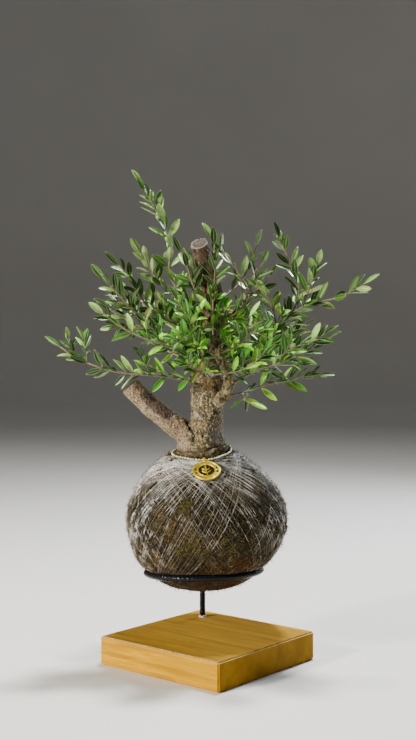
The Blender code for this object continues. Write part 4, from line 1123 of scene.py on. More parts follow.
def thread_turns(name, bundles, others, seed, lift, paint):
    """Fans of taut turns of thread round the ball, each past the trunk's foot and under the ball."""
    draw = random.Random(seed)
    fans = list(bundles)
    for n in range(others):
        fans.append((360.0 * draw.random(), THREAD_NEAREST + 26.0 * draw.random() ** 1.3,
                     draw.uniform(79, 90), draw.choice([3, 4, 5, 6]), draw.uniform(1.5, 4.5),
                     draw.uniform(-0.5, 1.5), draw.random()))
    form = Form()
    faces = rings_to_faces(THREAD_STEPS, 3, True)
    for azimuth, nearest, opening, turns, apart, away, shade in fans:
        for n in range(turns):
            o = math.radians(opening + draw.uniform(-1.2, 0.8))
            pole = direction(azimuth + apart * n + draw.gauss(0.0, 1.7),
                             opening + nearest + away * n + draw.gauss(0.0, 0.9))
            u = pole.cross(Vector((0, 0, 1))).normalized()
            w = pole.cross(u)
            above = lift + 0.45 * draw.random()
            dips = draw.choice([1.0, 1.0, 0.5, 0.0, 0.0])
            radius = THREAD_RADIUS * draw.uniform(0.8, 1.15)
            tone = clamped(shade + draw.uniform(-0.45, 0.35))
            route = []
            for c, s in circle(THREAD_STEPS):
                d = pole * math.cos(o) + (u * c + w * s) * math.sin(o)
                turn = math.degrees(math.atan2(d.y, d.x))
                angle = math.degrees(math.acos(d.z))
                room = clear_of_ring(ball_point(turn, angle))
                over = above - (above + 0.6) * tuft(d)[0] * dips
                route.append((ball_point(turn, angle, over * room + 0.2 * (1 - room)), d))
            points = []
            marks = []
            for i, (at, d) in enumerate(route):
                along = (route[(i + 1) % THREAD_STEPS][0] - route[i - 1][0]).normalized()
                out = (d - along * d.dot(along)).normalized()
                side = along.cross(out)
                points += [at + (out * c + side * s) * radius for c, s in circle(3)]
                marks += [one_mark(clamped(tone + rubbed_and_lit(d)))] * 3
            form.take(points, faces, marks)
    piece(name, form, [paint], ["thread_wrap"])


def bar_radius(turn, length):
    """Radius of the ribbed bar: slanting ribs on two sides and a low ridge between them."""
    ridge = abs(math.sin(turn))
    slant = length / RIB_PITCH + 0.16 * math.cos(turn) + (0.5 if math.sin(turn) < 0 else 0.0)
    rib = max(0.0, math.cos(2 * math.pi * slant)) ** 3 * min(1.0, ridge * 1.8)
    rail = max(0.0, 1 - ridge * 4.0) * 0.55
    return BAR_CORE_RADIUS + (BAR_RIB_RADIUS - BAR_CORE_RADIUS) * max(rib, rail)


def build_ring(paint):
    """The ribbed bar bent to a ring, with a whole number of ribs round it."""
    length = 2 * math.pi * RING_RADIUS
    scale = round(length / RIB_PITCH) * RIB_PITCH / length
    middle = Vector((RING_X, RING_Y, RING_Z))
    up = RING_TURN @ Vector((0, 0, 1))
    points = []
    for i in range(RING_STEPS):
        t = 2 * math.pi * i / RING_STEPS
        out = RING_TURN @ Vector((math.cos(t), math.sin(t), 0))
        for k in range(RING_SIDES):
            s = 2 * math.pi * k / RING_SIDES
            far = bar_radius(s + 0.9, t * RING_RADIUS * scale)
            points.append(middle + out * RING_RADIUS + (out * math.cos(s) + up * math.sin(s)) * far)
    form = Form(points, turned_over(rings_to_faces(RING_STEPS, RING_SIDES, True)))
    piece("ring_ribbed", form, [paint], ["ring"])


def build_rod(paint):
    """The upright bar, from the hole in the block up into the weld."""
    points = []
    for i in range(ROD_STEPS + 1):
        z = ROD_FOOT_Z + (ROD_TOP_Z + ROD_IN_WELD - ROD_FOOT_Z) * i / ROD_STEPS
        for k in range(ROD_SIDES):
            s = 2 * math.pi * k / ROD_SIDES
            far = bar_radius(s + 0.4, z)
            points.append(Vector((ROD_X + far * math.cos(s), ROD_Y + far * math.sin(s), z)))
    form = Form(points, tube_faces(ROD_STEPS + 1, ROD_SIDES))
    piece("rod_ribbed", form, [paint], ["rod"])


def build_weld(paint):
    """Lumpy bead where the rod meets the ring's underside."""
    points = []
    for row in range(WELD_ROWS + 1):
        p = math.pi * (0.02 + 0.96 * row / WELD_ROWS)
        for c, s in circle(WELD_SIDES):
            d = Vector((math.sin(p) * c, math.sin(p) * s, math.cos(p)))
            far = 1.0 + 0.16 * noise.noise(d * 3.2)
            reach = Vector([a * b for a, b in zip(d, WELD_SIZE)])
            points.append(Vector((ROD_X, ROD_Y, ROD_TOP_Z + 0.4)) + reach * far)
    form = Form(points, turned_over(tube_faces(WELD_ROWS + 1, WELD_SIDES)))
    piece("weld", form, [paint])


def build_glue(paint):
    """Uneven, thin skirt of dried glue round the rod's foot."""
    points, faces = lathe(GLUE_PROFILE, GLUE_STEPS, True)
    shaped = []
    for x, y, z in points:
        t = math.atan2(y, x)
        far = math.hypot(x, y)
        wave = noise.noise(Vector((math.cos(t) * 2.2, math.sin(t) * 2.2, 2.0)))
        far += 1.3 * wave * step(far, HOLE_RADIUS, GLUE_REACH)
        lift = z * (1 + 0.8 * noise.noise(Vector((math.cos(t) * 2.6, math.sin(t) * 2.6, 5.0))))
        shaped.append(Vector((ROD_X + far * math.cos(t), ROD_Y + far * math.sin(t),
                              BLOCK_HEIGHT - 0.1 + lift)))
    piece("glue_skirt", Form(shaped, faces), [paint], ["glue_fillet"])


def skin_height(x, y):
    """Height of the root ball's upper skin under a point."""
    azimuth = math.degrees(math.atan2(y - BALL_Y, x - BALL_X))
    skin = [ball_point(azimuth, 18.0 + i * 0.2) for i in range(240)]
    return min(skin, key=lambda at: math.hypot(at.x - x, at.y - y)).z


def medal_place():
    """Centre, sideways, up-slope and outward directions of the medal on the ball's front shoulder."""
    at = ball_point(MEDAL_AZIMUTH, MEDAL_ANGLE)
    high = ball_point(MEDAL_AZIMUTH, MEDAL_ANGLE - 8)
    up = (high - ball_point(MEDAL_AZIMUTH, MEDAL_ANGLE + 8)).normalized()
    side = Vector((1, 0, 0))
    side = (side - up * side.dot(up)).normalized()
    out = side.cross(up)
    return at + out * (MEDAL_LIFT + CAD_THREAD_TOP + GAP), side, up, out


def ball_shape(centre, radius, rows, sides):
    """Points and faces of a small sphere."""
    points = [centre + Vector((0, 0, radius))]
    for row in range(1, rows):
        p = math.pi * row / rows
        points += [centre + radius * Vector((math.sin(p) * c, math.sin(p) * s, math.cos(p)))
                   for c, s in circle(sides)]
    points.append(centre - Vector((0, 0, radius)))
    faces = []
    last = len(points) - 1
    for k in range(sides):
        m = (k + 1) % sides
        faces.append((0, 1 + k, 1 + m))
        for row in range(rows - 2):
            a = 1 + row * sides
            faces.append((a + k, a + sides + k, a + sides + m, a + m))
        faces.append((last, last - sides + m, last - sides + k))
    return points, faces


def chain_route():
    """Closed route of the chain, pulled forward to run through the medal's bail."""
    centre, side, up, out = medal_place()
    bail = centre + up * (MEDAL_RADIUS + BAIL_OUT) + out * BAIL_RISE
    points = []
    for i in range(CHAIN_STEPS):
        turn = 360.0 * i / CHAIN_STEPS
        t = math.radians(turn)
        reach = between(CHAIN_REACH, turn, 360.0)
        x = TREE_X + reach * math.cos(t)
        y = TREE_Y + reach * math.sin(t)
        points.append(Vector((x, y, skin_height(x, y) + between(CHAIN_LIFT, turn, 360.0))))
    front = CHAIN_STEPS * 0.75
    pull = bail - points[round(front)]
    for i in range(CHAIN_STEPS):
        points[i] += pull * (1 - step(abs(i - front), 0, CHAIN_STEPS * CHAIN_PULL))
    return points


def build_chain(paint):
    """Round beads on a wire."""
    route = chain_route()
    lengths = [0.0]
    for a, b in zip(route, route[1:] + route[:1]):
        lengths.append(lengths[-1] + (b - a).length)
    beads = []
    for n in range(CHAIN_BEADS):
        want = lengths[-1] * n / CHAIN_BEADS
        i = max(j for j in range(CHAIN_STEPS) if lengths[j] <= want)
        s = (want - lengths[i]) / (lengths[i + 1] - lengths[i])
        beads.append(route[i].lerp(route[(i + 1) % CHAIN_STEPS], s))
    form = Form()
    for at, after in zip(beads, beads[1:] + beads[:1]):
        form.take(*ball_shape(at, BEAD_RADIUS, 8, 12))
        form.take(*tube([at, after], [LINK_RADIUS, LINK_RADIUS], 6))
    piece("chain_beads", form, [paint], ["bead_chain"])


def sprig_height(x, y):
    """A small sprig: a bowed stem with two pairs of leaves and one at its tip."""
    best = 0.0
    stem_x = 0.10 * y * y / 4.0
    if -5.0 < y < 2.6:
        best = 1 - step(abs(x - stem_x + 0.4), 0.22, 0.42)
    for foot, lean, size in ((-3.2, 1, 4.6), (-3.2, -1, 4.6), (-0.2, 1, 4.0), (-0.2, -1, 4.0), (2.0, 0, 3.4)):
        angle = math.radians(90 - 52 * lean)
        base_x = 0.10 * foot * foot / 4.0 - 0.4
        a = (x - base_x) * math.cos(angle) + (y - foot) * math.sin(angle)
        b = -(x - base_x) * math.sin(angle) + (y - foot) * math.cos(angle)
        share = a / size
        if 0 < share < 1:
            half = 0.82 * math.sin(math.pi * share) ** 0.8
            leaf = 1 - step(abs(b), half * 0.75, half + 0.05)
            best = max(best, leaf * (0.75 if abs(b) < 0.12 else 1.0))
    return best


def medal_height(x, y):
    """Relief of the medal's face, and how dark its ground is, at a point from its middle."""
    r = math.hypot(x, y)
    t = math.atan2(y, x)
    flat = MEDAL_THICK / 2
    rim = step(r, MEDAL_RADIUS - 1.9, MEDAL_RADIUS - 1.5) * (1 - step(r, MEDAL_RADIUS - 0.4, MEDAL_RADIUS))
    inner = step(r, 7.7, 8.0) * (1 - step(r, 8.8, 9.1))
    beads = inner * step(math.cos(t * 40), 0.1, 0.7)
    ground = 1 - step(r, 7.6, 7.8)
    slots = abs(math.sin(t)) < 0.5
    part = (t / (math.pi / 6)) % 1.0 - 0.5
    slot = step(r, 9.5, 9.7) * (1 - step(r, 11.2, 11.4)) * (1 - step(abs(part), 0.20, 0.28)) * slots
    band = step(r, 9.2, 9.5) * (1 - step(r, 11.2, 11.5)) * (1 - slots)
    dots = band * step(math.sin(t * 40) * math.sin(r * 4.4), 0.0, 0.6)
    sprig = ground * sprig_height(x / 1.3, y / 1.3)
    height = flat - 0.45 + 0.45 * max(rim, 0.8 * inner, sprig) - 0.16 * ground * (1 - sprig) - 0.25 * slot
    height += 0.08 * beads + 0.12 * dots
    dark = max(ground * (1 - sprig), slot, 0.30 * band * (1 - dots))
    return height, min(1.0, dark)


def build_medal(paint):
    """Round medal with a raised rim and a generic leafy sprig on a dark ground, and its bail."""
    centre, side, up, out = medal_place()
    place = Matrix(((side.x, up.x, out.x, centre.x), (side.y, up.y, out.y, centre.y),
                    (side.z, up.z, out.z, centre.z), (0, 0, 0, 1)))
    rows = MEDAL_ROWS
    steps = MEDAL_STEPS
    half = MEDAL_THICK / 2
    around = circle(steps)
    height, dark = medal_height(0.0, 0.0)
    points = [(0.0, 0.0, height)]
    marks = [one_mark(dark)]
    for row in range(1, rows + 1):
        r = MEDAL_RADIUS * row / rows
        for c, s in around:
            height, dark = medal_height(r * c, r * s)
            points.append((r * c, r * s, height))
            marks.append(one_mark(dark))
    edge = ((MEDAL_RADIUS + 0.05, half - 0.7), (MEDAL_RADIUS, -half + 0.35), (MEDAL_RADIUS - 0.4, -half))
    for r, z in edge:
        points += [(r * c, r * s, z) for c, s in around]
    faces = [(0, 1 + k, 1 + (k + 1) % steps) for k in range(steps)]
    for row in range(rows + 2):
        a = 1 + row * steps
        for k in range(steps):
            m = (k + 1) % steps
            faces.append((a + k, a + steps + k, a + steps + m, a + m))
    last = 1 + (rows + 2) * steps
    faces.append(tuple(range(last + steps - 1, last - 1, -1)))
    form = Form(points, faces)
    bail, bail_faces = lathe(BAIL_PROFILE, 32, True)
    lay = Matrix.Translation((0, MEDAL_RADIUS + BAIL_OUT, BAIL_RISE)) @ Matrix.Rotation(math.pi / 2, 4, "Y")
    form.take(moved(bail, lay), bail_faces)
    form.points = moved(form.points, place)
    form.marks = marks + [one_mark(0.0)] * (len(form.points) - len(marks))
    piece("medal_face", form, [paint], ["medal"])


def tree_point(spot):
    """Point of the world frame from one given off the tree's axis."""
    return Vector(spot) + Vector((TREE_X, TREE_Y, 0))


def fine_rows(rows):
    """The rows of a limb with soft curves between them: point, radius and row number."""
    spots = [Vector(p) for p, r in rows]
    sizes = [r for p, r in rows]
    fine = []
    for i in range(len(rows) - 1):
        before = max(0, i - 1)
        after = min(len(rows) - 1, i + 2)
        for s in range(LIMB_PARTS):
            t = s / LIMB_PARTS
            soft = t * t * (3 - 2 * t)
            at = curve_point(spots[before], spots[i], spots[i + 1], spots[after], t)
            fine.append((at, sizes[i] + (sizes[i + 1] - sizes[i]) * soft, i + t))
    fine.append((spots[-1], sizes[-1], len(rows) - 1))
    return fine


def limb(rows, sides, swell):
    """Points and faces of one limb of the wood."""
    fine = fine_rows(rows)
    return tube([tree_point(p) for p, r, row in fine], [r for p, r, row in fine], sides,
                lambda i, t: swell(fine[i][2], t))


def trunk_swell(row, t):
    """Uneven girth of the trunk above its foot."""
    if row < 3.5:
        return 1.0
    rise = step(row, 3.5, 4.5)
    return 1 + rise * (0.05 * math.sin(2 * t + 0.5 * row) + 0.04 * math.sin(3 * t - 0.8 * row))


def joined(shapes):
    """Several closed shapes under one even skin."""
    form = Form()
    for points, faces in shapes:
        form.take([p * MM for p in points], faces)
    mesh = bpy.data.meshes.new("forms")
    mesh.from_pydata(form.points, [], form.faces)
    made = linked("forms", mesh)
    even = made.modifiers.new("even", "REMESH")
    even.mode = "VOXEL"
    even.voxel_size = BARK_VOXEL * MM
    graph = bpy.context.evaluated_depsgraph_get()
    skin = bpy.data.meshes.new_from_object(made.evaluated_get(graph))
    bpy.data.objects.remove(made)
    return skin


def bark_relief(at, cut, scar):
    """How far the bark stands out at a point, in millimetres."""
    upright = Vector((at.x, at.y, at.z * 0.35)) * 0.26
    ridges = 1 - abs(noise.fractal(upright, 0.9, 2.2, 3)) * 2.2
    grain = noise.fractal(at * 0.55, 0.8, 2.1, 3)
    lumps = noise.noise(at * 0.12 + Vector((3, 1, 4)))
    relief = 0.42 * ridges + 0.60 * grain + 0.9 * lumps - 0.30
    relief *= 1 - 0.6 * cut
    return relief - 0.45 * scar


def along_stump(at):
    """Share along the stump, the side faced there (1 upper, -1 lower) and the distance off its line."""
    foot = tree_point(STUMP[1][0])
    tip = tree_point(STUMP[-1][0])
    line = tip - foot
    share = (at - foot).dot(line) / line.length_squared
    off = (at - foot) - line * share
    return share, off.normalized().dot(STUMP_UPPER) if off.length > 1e-6 else 0.0, off.length


def above_cut(at):
    """How far a point lies above the saw cut at the trunk's top."""
    return (at - tree_point(TOP_CUT_SPOT)).dot(TOP_CUT) if at.z > TOP_CUT_LOWEST else -50.0


def near_knee(at):
    """1 on the knee-shaped limb, 0 away from it."""
    best = 0.0
    for (a, r), (b, q) in zip(KNEE[1:], KNEE[2:]):
        share, off = nearest_on_line(at, tree_point(a), tree_point(b))
        best = max(best, 1 - step(off - r - (q - r) * share, 0.6, 2.4))
    return best


def bark_marks(at, normal):
    """How much a point is cut wood, scar, darkened foot (soil stain and painted shade) or painted shade of
    the hollow below the cut, and rubbed bark that is brightened as painted light.
    """
    tip = tree_point(STUMP[-1][0])
    line = (tip - tree_point(STUMP[-2][0])).normalized()
    near = (at - tip).dot(line)
    cut = 0.0
    if (at - tip).length < STUMP[-1][1] + 3.0:
        off = (at - tip - line * near).length
        face = step(near, -1.6, -0.7) * step(normal.dot(line), 0.35, 0.7)
        cut = face * (0.5 + 0.5 * (1 - step(off, STUMP[-1][1] - 2.2, STUMP[-1][1] - 1.2)))
    if above_cut(at) > -0.3:
        off = math.hypot(at.x - tree_point(TRUNK[-2][0]).x, at.y - TREE_Y)
        cut = 0.5 + 0.5 * (1 - step(off, TRUNK[-2][1] - 2.2, TRUNK[-2][1] - 0.8))
    share, upper, off = along_stump(at)
    scar = 0.0
    if off < 16.0:
        edge = 0.12 * noise.noise(at * 0.16) + 0.05 * noise.noise(at * 0.5)
        oval = math.hypot((share - 0.57) / 0.28, (1 - min(1.0, upper)) / 0.36) + edge
        scar = 1 - step(oval, 0.78, 1.02)
    middle = TREE_X + between(HOLLOW_LINE, at.z)
    strip = 1 - step(abs(at.x - middle + 0.5) + 2.5 * noise.noise(at * 0.2), 3.0, 5.5)
    # Painted shade: a dark strip stands for the hollow below the cut.
    hollow = step(at.z, 366, 376) * step(-normal.y, 0.1, 0.4) * strip * (1 - cut)
    peeled = 0.9 * step(at.z, 388, 398) * step(-normal.y, 0.05, 0.4) * (1 - cut) * (1 - hollow)
    # Darker foot: soil stain and painted shade where the trunk sinks into the ball.
    foot = 0.84 * (1 - step(at.z + 5.0 * noise.noise(at * 0.12), 205, 213))
    return cut, max(scar, peeled), max(foot, 0.9 * hollow), near_knee(at)


def crease(at):
    """The fold round the trunk's foot, a little higher on the right, carved and painted dark as shade."""
    edge = 208.4 + 8.0 * step(at.x, -14.0, 24.0) + 1.8 * noise.noise(Vector((at.x, at.y, 0.0)) * 0.09)
    return math.exp(-((at.z - edge) / 1.5) ** 2)


def knots(at, normal):
    """Old branch scars, 1 in their middle and below 0 on their raised rims, and the groove, 1 along it."""
    best = 0.0
    for x, z, radius, front in KNOTS:
        if normal.y * front > 0.1:
            far = math.hypot(at.x - TREE_X - x, (at.z - z) * 0.8) / radius
            if far < 1.6:
                best = 1 - step(far, 0.2, 0.85) - 0.5 * math.exp(-((far - 1.1) / 0.22) ** 2)
    # The groove is carved and also darkened as painted shade.
    if normal.y < -0.1:
        share, off = nearest_on_line(Vector((at.x - TREE_X, 0.0, at.z)), *GROOVE)
        best = max(best, 1 - step(off + 0.8 * noise.noise(at * 0.4), 0.5, 1.7))
    return best


def build_trunk(paint, collars):
    """Trunk, stump, knee and spur under one skin of bark, with a swelling at every leafy stem."""
    shapes = [limb(TRUNK, 48, trunk_swell),
              limb(STUMP, 40, lambda row, t: 1 + 0.03 * math.sin(2 * t + row)),
              limb(KNEE, 28, lambda row, t: 1 + 0.04 * math.sin(2 * t + 1.3 + row)),
              limb(SPUR, 24, lambda row, t: 1 + 0.05 * math.sin(3 * t + row))]
    for name, radius, route, side_stems in LIMBS:
        end, away = collars[name]
        shapes.append(tube([end - away * 9.0, end - away * 3.0, end + away * 0.6],
                           [radius + 2.0, radius + 0.9, radius * 0.9], 14))
    skin = joined(shapes)
    top_line = (tree_point(TRUNK[-2][0]) - tree_point(TRUNK[-3][0])).normalized()
    marks = []
    moved_to = []
    for v in skin.vertices:
        at = v.co / MM
        normal = v.normal
        cut, scar, foot, worn_and_lit = bark_marks(at, normal)
        above = above_cut(at)
        if above > 0:
            at = at - top_line * (above / TOP_CUT.dot(top_line))
            normal = TOP_CUT
        fold = crease(at)
        eye = knots(at, normal)
        relief = bark_relief(at, cut, scar) - CREASE_DEPTH * fold - KNOT_DEPTH * eye
        moved_to += list((at + normal * relief) * MM)
        # The third mark carries the foot's stain and the painted shade of the fold, the groove and the
        # hollow.
        marks.append((cut, scar, min(1.0, max(foot, fold, 1.1 * eye)), worn_and_lit))
    skin.vertices.foreach_set("co", moved_to)
    skin.materials.clear()
    dressed("trunk_bark", skin, [paint], ["trunk"], marks)


class Spray:
    """Points, faces and buds of one leafy stem while it grows; a bud is a face for a leaf."""

    def __init__(self, name):
        self.name = name
        self.points = []
        self.faces = []
        self.buds = []
        self.routes = []

    def stem(self, route, radius, start, offset):
        """Adds a square stem along a route; start holds four corners of the parent, or nothing."""
        self.routes.append((route, radius, TWIG_TIP_RADIUS))
        first = None if start is None else self.points[start[1]] - self.points[start[0]]
        frames = frames_along(route, first)
        total = len(route) - 1
        lower = start
        ring = start
        for i, (p, (d, u, w)) in enumerate(zip(route, frames)):
            if start is not None and i == 0:
                continue
            r = radius + (TWIG_TIP_RADIUS - radius) * i / total
            bud = 0 < i < total
            for shift in ([-NODE_HALF, NODE_HALF] if bud else [0.0]):
                ring = tuple(range(len(self.points), len(self.points) + 4))
                self.points += [p + d * shift + (u * x + w * y) * r * 0.8 for x, y in SQUARE]
                if lower is None:
                    self.faces.append(ring[::-1])
                else:
                    for k in range(4):
                        m = (k + 1) % 4
                        quad = (lower[k], lower[m], ring[m], ring[k])
                        if shift > 0:
                            self.buds.append(Bud(quad, d, i + offset, k, i / total, len(self.faces)))
                        self.faces.append(quad)
                lower = ring
        self.buds.append(Bud(ring, frames[-1][0], total + offset, -1, 1.0, len(self.faces)))
        self.faces.append(ring)


def middle_of(corners):
    """Middle of a square of four corners."""
    return sum(corners, Vector()) / 4


def facing(corners):
    """The way that a square of four corners looks."""
    return (corners[1] - corners[0]).cross(corners[3] - corners[0]).normalized()


def best_bud(spray, share, aim_point):
    """The main stem's bud nearest to a share of its length that looks to a point best."""
    best = None
    for bud in spray.buds:
        if bud.side < 0 or bud.number >= SIDE_STEM_NUMBERS:
            continue
        corners = [spray.points[v] for v in bud.corners]
        centre = middle_of(corners)
        out = facing(corners)
        cost = abs(bud.share - share) * 6 - out.dot((aim_point - centre).normalized())
        if best is None or cost < best[0]:
            best = (cost, bud, centre, out)
    return best[1:]


def find_collars(trunk_tree):
    """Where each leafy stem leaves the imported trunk, and its direction there."""
    collars = {}
    for name, radius, route, side_stems in LIMBS:
        a = tree_point(route[0])
        away = (tree_point(route[1]) - a).normalized()
        hit = trunk_tree.ray_cast(a + away * 60.0, -away, 60.0)[0]
        collars[name] = (hit + away * GAP, away)
    return collars


def grow_stems(collars):
    """The twigs of every leafy stem, side stems grown out of their parent's faces."""
    sprays = []
    for name, radius, route, side_stems in LIMBS:
        start, away = collars[name]
        main_stem = smooth_route([start, start + away * 4.0] + [tree_point(p) for p in route[1:]],
                                 LEAF_SPACING)
        spray = Spray(name)
        spray.stem(main_stem, radius, None, 0)
        for order, (share, side_route) in enumerate(side_stems, 1):
            side_points = [tree_point(p) for p in side_route]
            bud, centre, out = best_bud(spray, share, side_points[0])
            spray.buds.remove(bud)
            spray.faces[bud.face] = None
            knee = centre + out * 2.2 + (side_points[0] - centre).normalized() * 2.2
            path = smooth_route([centre, knee] + side_points, LEAF_SPACING)
            path.insert(1, centre + out * 2.0)
            spray.stem(path, SIDE_STEM_RADIUS, bud.corners, SIDE_STEM_NUMBERS * order)
        sprays.append(spray)
    return sprays


def leaf_axes(out, up, twist):
    """A leaf's sideways direction and the one that its upper face looks to."""
    side = up.cross(out)
    if side.length < 1e-6:
        side = out.orthogonal()
    side.normalize()
    turn = Matrix.Rotation(twist, 3, out)
    return turn @ side, turn @ out.cross(side).normalized()


def leaf_room(base, out, up, length, width, twist, arch):
    """Search tree of a leaf and the gap round it, from a little above its root to its tip."""
    side, face = leaf_axes(out, up, twist)
    thick = LEAF_THICK / 2 + LEAF_CLEAR
    corners = []
    for share, wide in LEAF_RINGS:
        at = base + out * length * share + face * arch * share * share * length
        half = width * wide + LEAF_CLEAR
        corners += [at + side * half * x + face * thick * y for x, y in SQUARE]
    corners.append(base + out * (length + LEAF_CLEAR) + face * arch * length)
    corners += [base.lerp(c, LEAF_ROOT) for c in corners[:4]]
    return BVHTree.FromPolygons(corners, LEAF_SIDES)


def leaf_facing(spot, out):
    """Side of a leaf that looks to the light: upwards, and away from the middle of the crown."""
    away = -1.0 if spot.y < TREE_Y + CROWN_MIDDLE else 1.0
    return Vector((0.0, 0.75 * away, 0.62)) + 0.15 * out


def rolled(draw):
    """A leaf's own numbers: for its length, bend, sway, width, twist and arch."""
    return [draw.random() for roll in range(6)]


def leaf_aim(bud, corners, rolls, attempt, full):
    """Direction, twist and length of a leaf; each attempt turns it a step further away."""
    normal = facing(corners)
    shift = (attempt + 1) // 2 * (1 if attempt % 2 else -1)
    if bud.side < 0:
        out = normal + (corners[1] - corners[0]).normalized() * LEAF_LEAN_STEP * shift
    else:
        bend = LEAF_BEND + LEAF_BEND_SPREAD * rolls[1] - LEAF_BEND_LESS_AT_TIP * bud.share * bud.share
        bend = math.radians(bend) + math.radians(LEAF_BEND_STEP * shift)
        out = normal * math.sin(bend) + bud.along * math.cos(bend)
        sway = normal.cross(bud.along) * (LEAF_SWAY * (rolls[2] - 0.5) + LEAF_SWAY_STEP * shift)
        out = out + sway + Vector((0, 0, LEAF_RISE))
    size = 0.86 + 0.28 * rolls[0]
    if bud.share > 0.8:
        size *= 0.88
    length = full * size * (1.0 - 0.02 * attempt)
    twist = math.radians((rolls[4] - 0.5) * LEAF_TWIST + LEAF_TWIST_STEP * shift)
    return out.normalized(), twist, length


class Crown:
    def __init__(self, fixed, trees):
        self.fixed = fixed + list(trees.values())
        self.trees = trees
        self.cells = {}

    def cell(self, spot):
        return tuple(math.floor(c / LEAF_REACH) for c in spot)

    def add(self, spot, tree):
        self.cells.setdefault(self.cell(spot), []).append((spot, tree))

    def blocked(self, spot, trial, skip=None):
        if any(trial.overlap(tree) for tree in self.fixed if tree is not skip):
            return True
        x, y, z = self.cell(spot)
        for cell in itertools.product((x - 1, x, x + 1), (y - 1, y, y + 1), (z - 1, z, z + 1)):
            for other, tree in self.cells.get(cell, ()):
                if tree is not skip and (other - spot).length < LEAF_REACH and trial.overlap(tree):
                    return True
        return False


def place_leaf(bud, corners, rolls, crown, full=LEAF_LENGTH, tries=LEAF_TRIES, skip=None):
    """The first attempt at a leaf that is clear of everything that has grown so far."""
    centre = middle_of(corners)
    width = LEAF_WIDTH * (0.9 + 0.22 * rolls[3]) * full / LEAF_LENGTH
    arch = LEAF_ARCH * (rolls[5] - 0.62)
    for attempt in range(tries):
        out, twist, length = leaf_aim(bud, corners, rolls, attempt, full)
        leaf = Leaf(centre, out, leaf_facing(centre, out), length, width, twist, arch)
        trial = leaf_room(*leaf)
        spot = centre + out * length * 0.5
        if not crown.blocked(spot, trial, skip):
            crown.add(spot, trial)
            return leaf
    return None


def side_bud(at, along, normal, radius, share):
    """A small square bud on a twig's side, and its corners."""
    side = along.cross(normal)
    base = at + normal * radius * 0.8
    corners = [base + side * x + along * y for x, y in SQUARE]
    return Bud(None, along, 0, 0, share, None), [base + (c - base) * 0.4 for c in corners]


def leaf_pair(at, axis, side, turn, radius, share, draw, crown, full, skip):
    """Two opposite leaves on a twig, with None for one that finds no room."""
    leaves = []
    for half in (0, 1):
        around = Matrix.Rotation(turn + half * math.pi, 3, axis) @ side
        bud, square = side_bud(at, axis, around, radius, share)
        leaves.append(place_leaf(bud, square, rolled(draw), crown, full, SHOOT_TRIES, skip))
    return leaves


def inside(spot, rooms):
    """Whether a point lies in one of the rooms."""
    at = spot - tree_point((0, 0, 0))
    return any(all(a < c < b for a, c, b in zip(low, at, high)) for low, high in rooms)


def knee_sheets():
    """Sheets from the knee-shaped limb to the front; what grows besides the part's leaves stays off them."""
    points = []
    faces = []
    for aside in (-1.15, -0.4, 0.4, 1.15):
        first = len(points)
        for spot, radius in KNEE[1:]:
            at = tree_point(spot) + Vector((aside * radius, -radius, 0.0))
            points += [at, at - Vector((0.0, 90.0, 0.0))]
        for k in range(len(KNEE) - 2):
            a = first + 2 * k
            faces += [(a, a + 1, a + 3), (a, a + 3, a + 2)]
    return BVHTree.FromPolygons(points, faces)


def crowding(spot):
    """Chance of a short shoot: high in the middle of the crown, low at its edge, none before bare wood."""
    if inside(spot, OPEN_ROOMS + BARE_ROOMS):
        return 0.0
    at = spot - tree_point((0, 0, 0))
    away = Vector([(c - middle) / half for c, middle, half in zip(at, *SHOOT_OVAL)]).length
    return SHOOT_CHANCE_OUT + (SHOOT_CHANCE_IN - SHOOT_CHANCE_OUT) * (1 - step(away, 0.45, 1.0))


def outerness(spot):
    """0 deep in the crown, 1 at its outside and top, where the leaves are greyer."""
    low = tree_point((14, -10, 296))
    rise = spot.z - low.z
    tall = 98.0 if rise > 0 else 200.0
    away = Vector(((spot.x - low.x) / 118.0, (spot.y - low.y) / 110.0, rise / tall))
    return step(away.length, 0.36, 0.92)


def grow_pairs(spray, draw, crown):
    """Further leaf pairs halfway between the nodes of a leafy stem."""
    leaves = []
    for route, radius, tip_radius in spray.routes:
        frames = frames_along(route)
        total = len(route) - 1
        for i in range(1, total):
            if draw.random() > PAIR_CHANCE:
                continue
            share = (i + 0.5) / total
            at = (route[i] + route[i + 1]) / 2
            if inside(at, OPEN_ROOMS):
                continue
            along, side = frames[i][:2]
            turn = draw.uniform(0, math.pi)
            thick = radius + (tip_radius - radius) * share
            pair = leaf_pair(at, along, side, turn, thick, share, draw, crown, LEAF_LENGTH * PAIR_SIZE,
                             crown.trees[spray.name])
            leaves += [(leaf, outerness(at)) for leaf in pair if leaf is not None]
    return leaves


def trunk_square(trunk_tree, draw):
    """A small square on the trunk's bark, mostly on its front, and the way that it looks."""
    height = draw.uniform(*SHOOT_HEIGHTS)
    sides = [draw.uniform(*FRONT_SIDE), draw.uniform(*FRONT_SIDE), draw.uniform(0, 360)]
    around = math.radians(draw.choice(sides))
    away = Vector((math.cos(around), math.sin(around), 0))
    at, normal = trunk_tree.ray_cast(tree_point((6, 0, height)) + away * 40, -away, 60)[:2]
    side = normal.cross(Vector((0, 0, 1))).normalized()
    up = side.cross(normal)
    if side.cross(up).dot(normal) < 0:
        side = -side
    return [at + (side * x + up * y) * 0.5 for x, y in SQUARE], normal


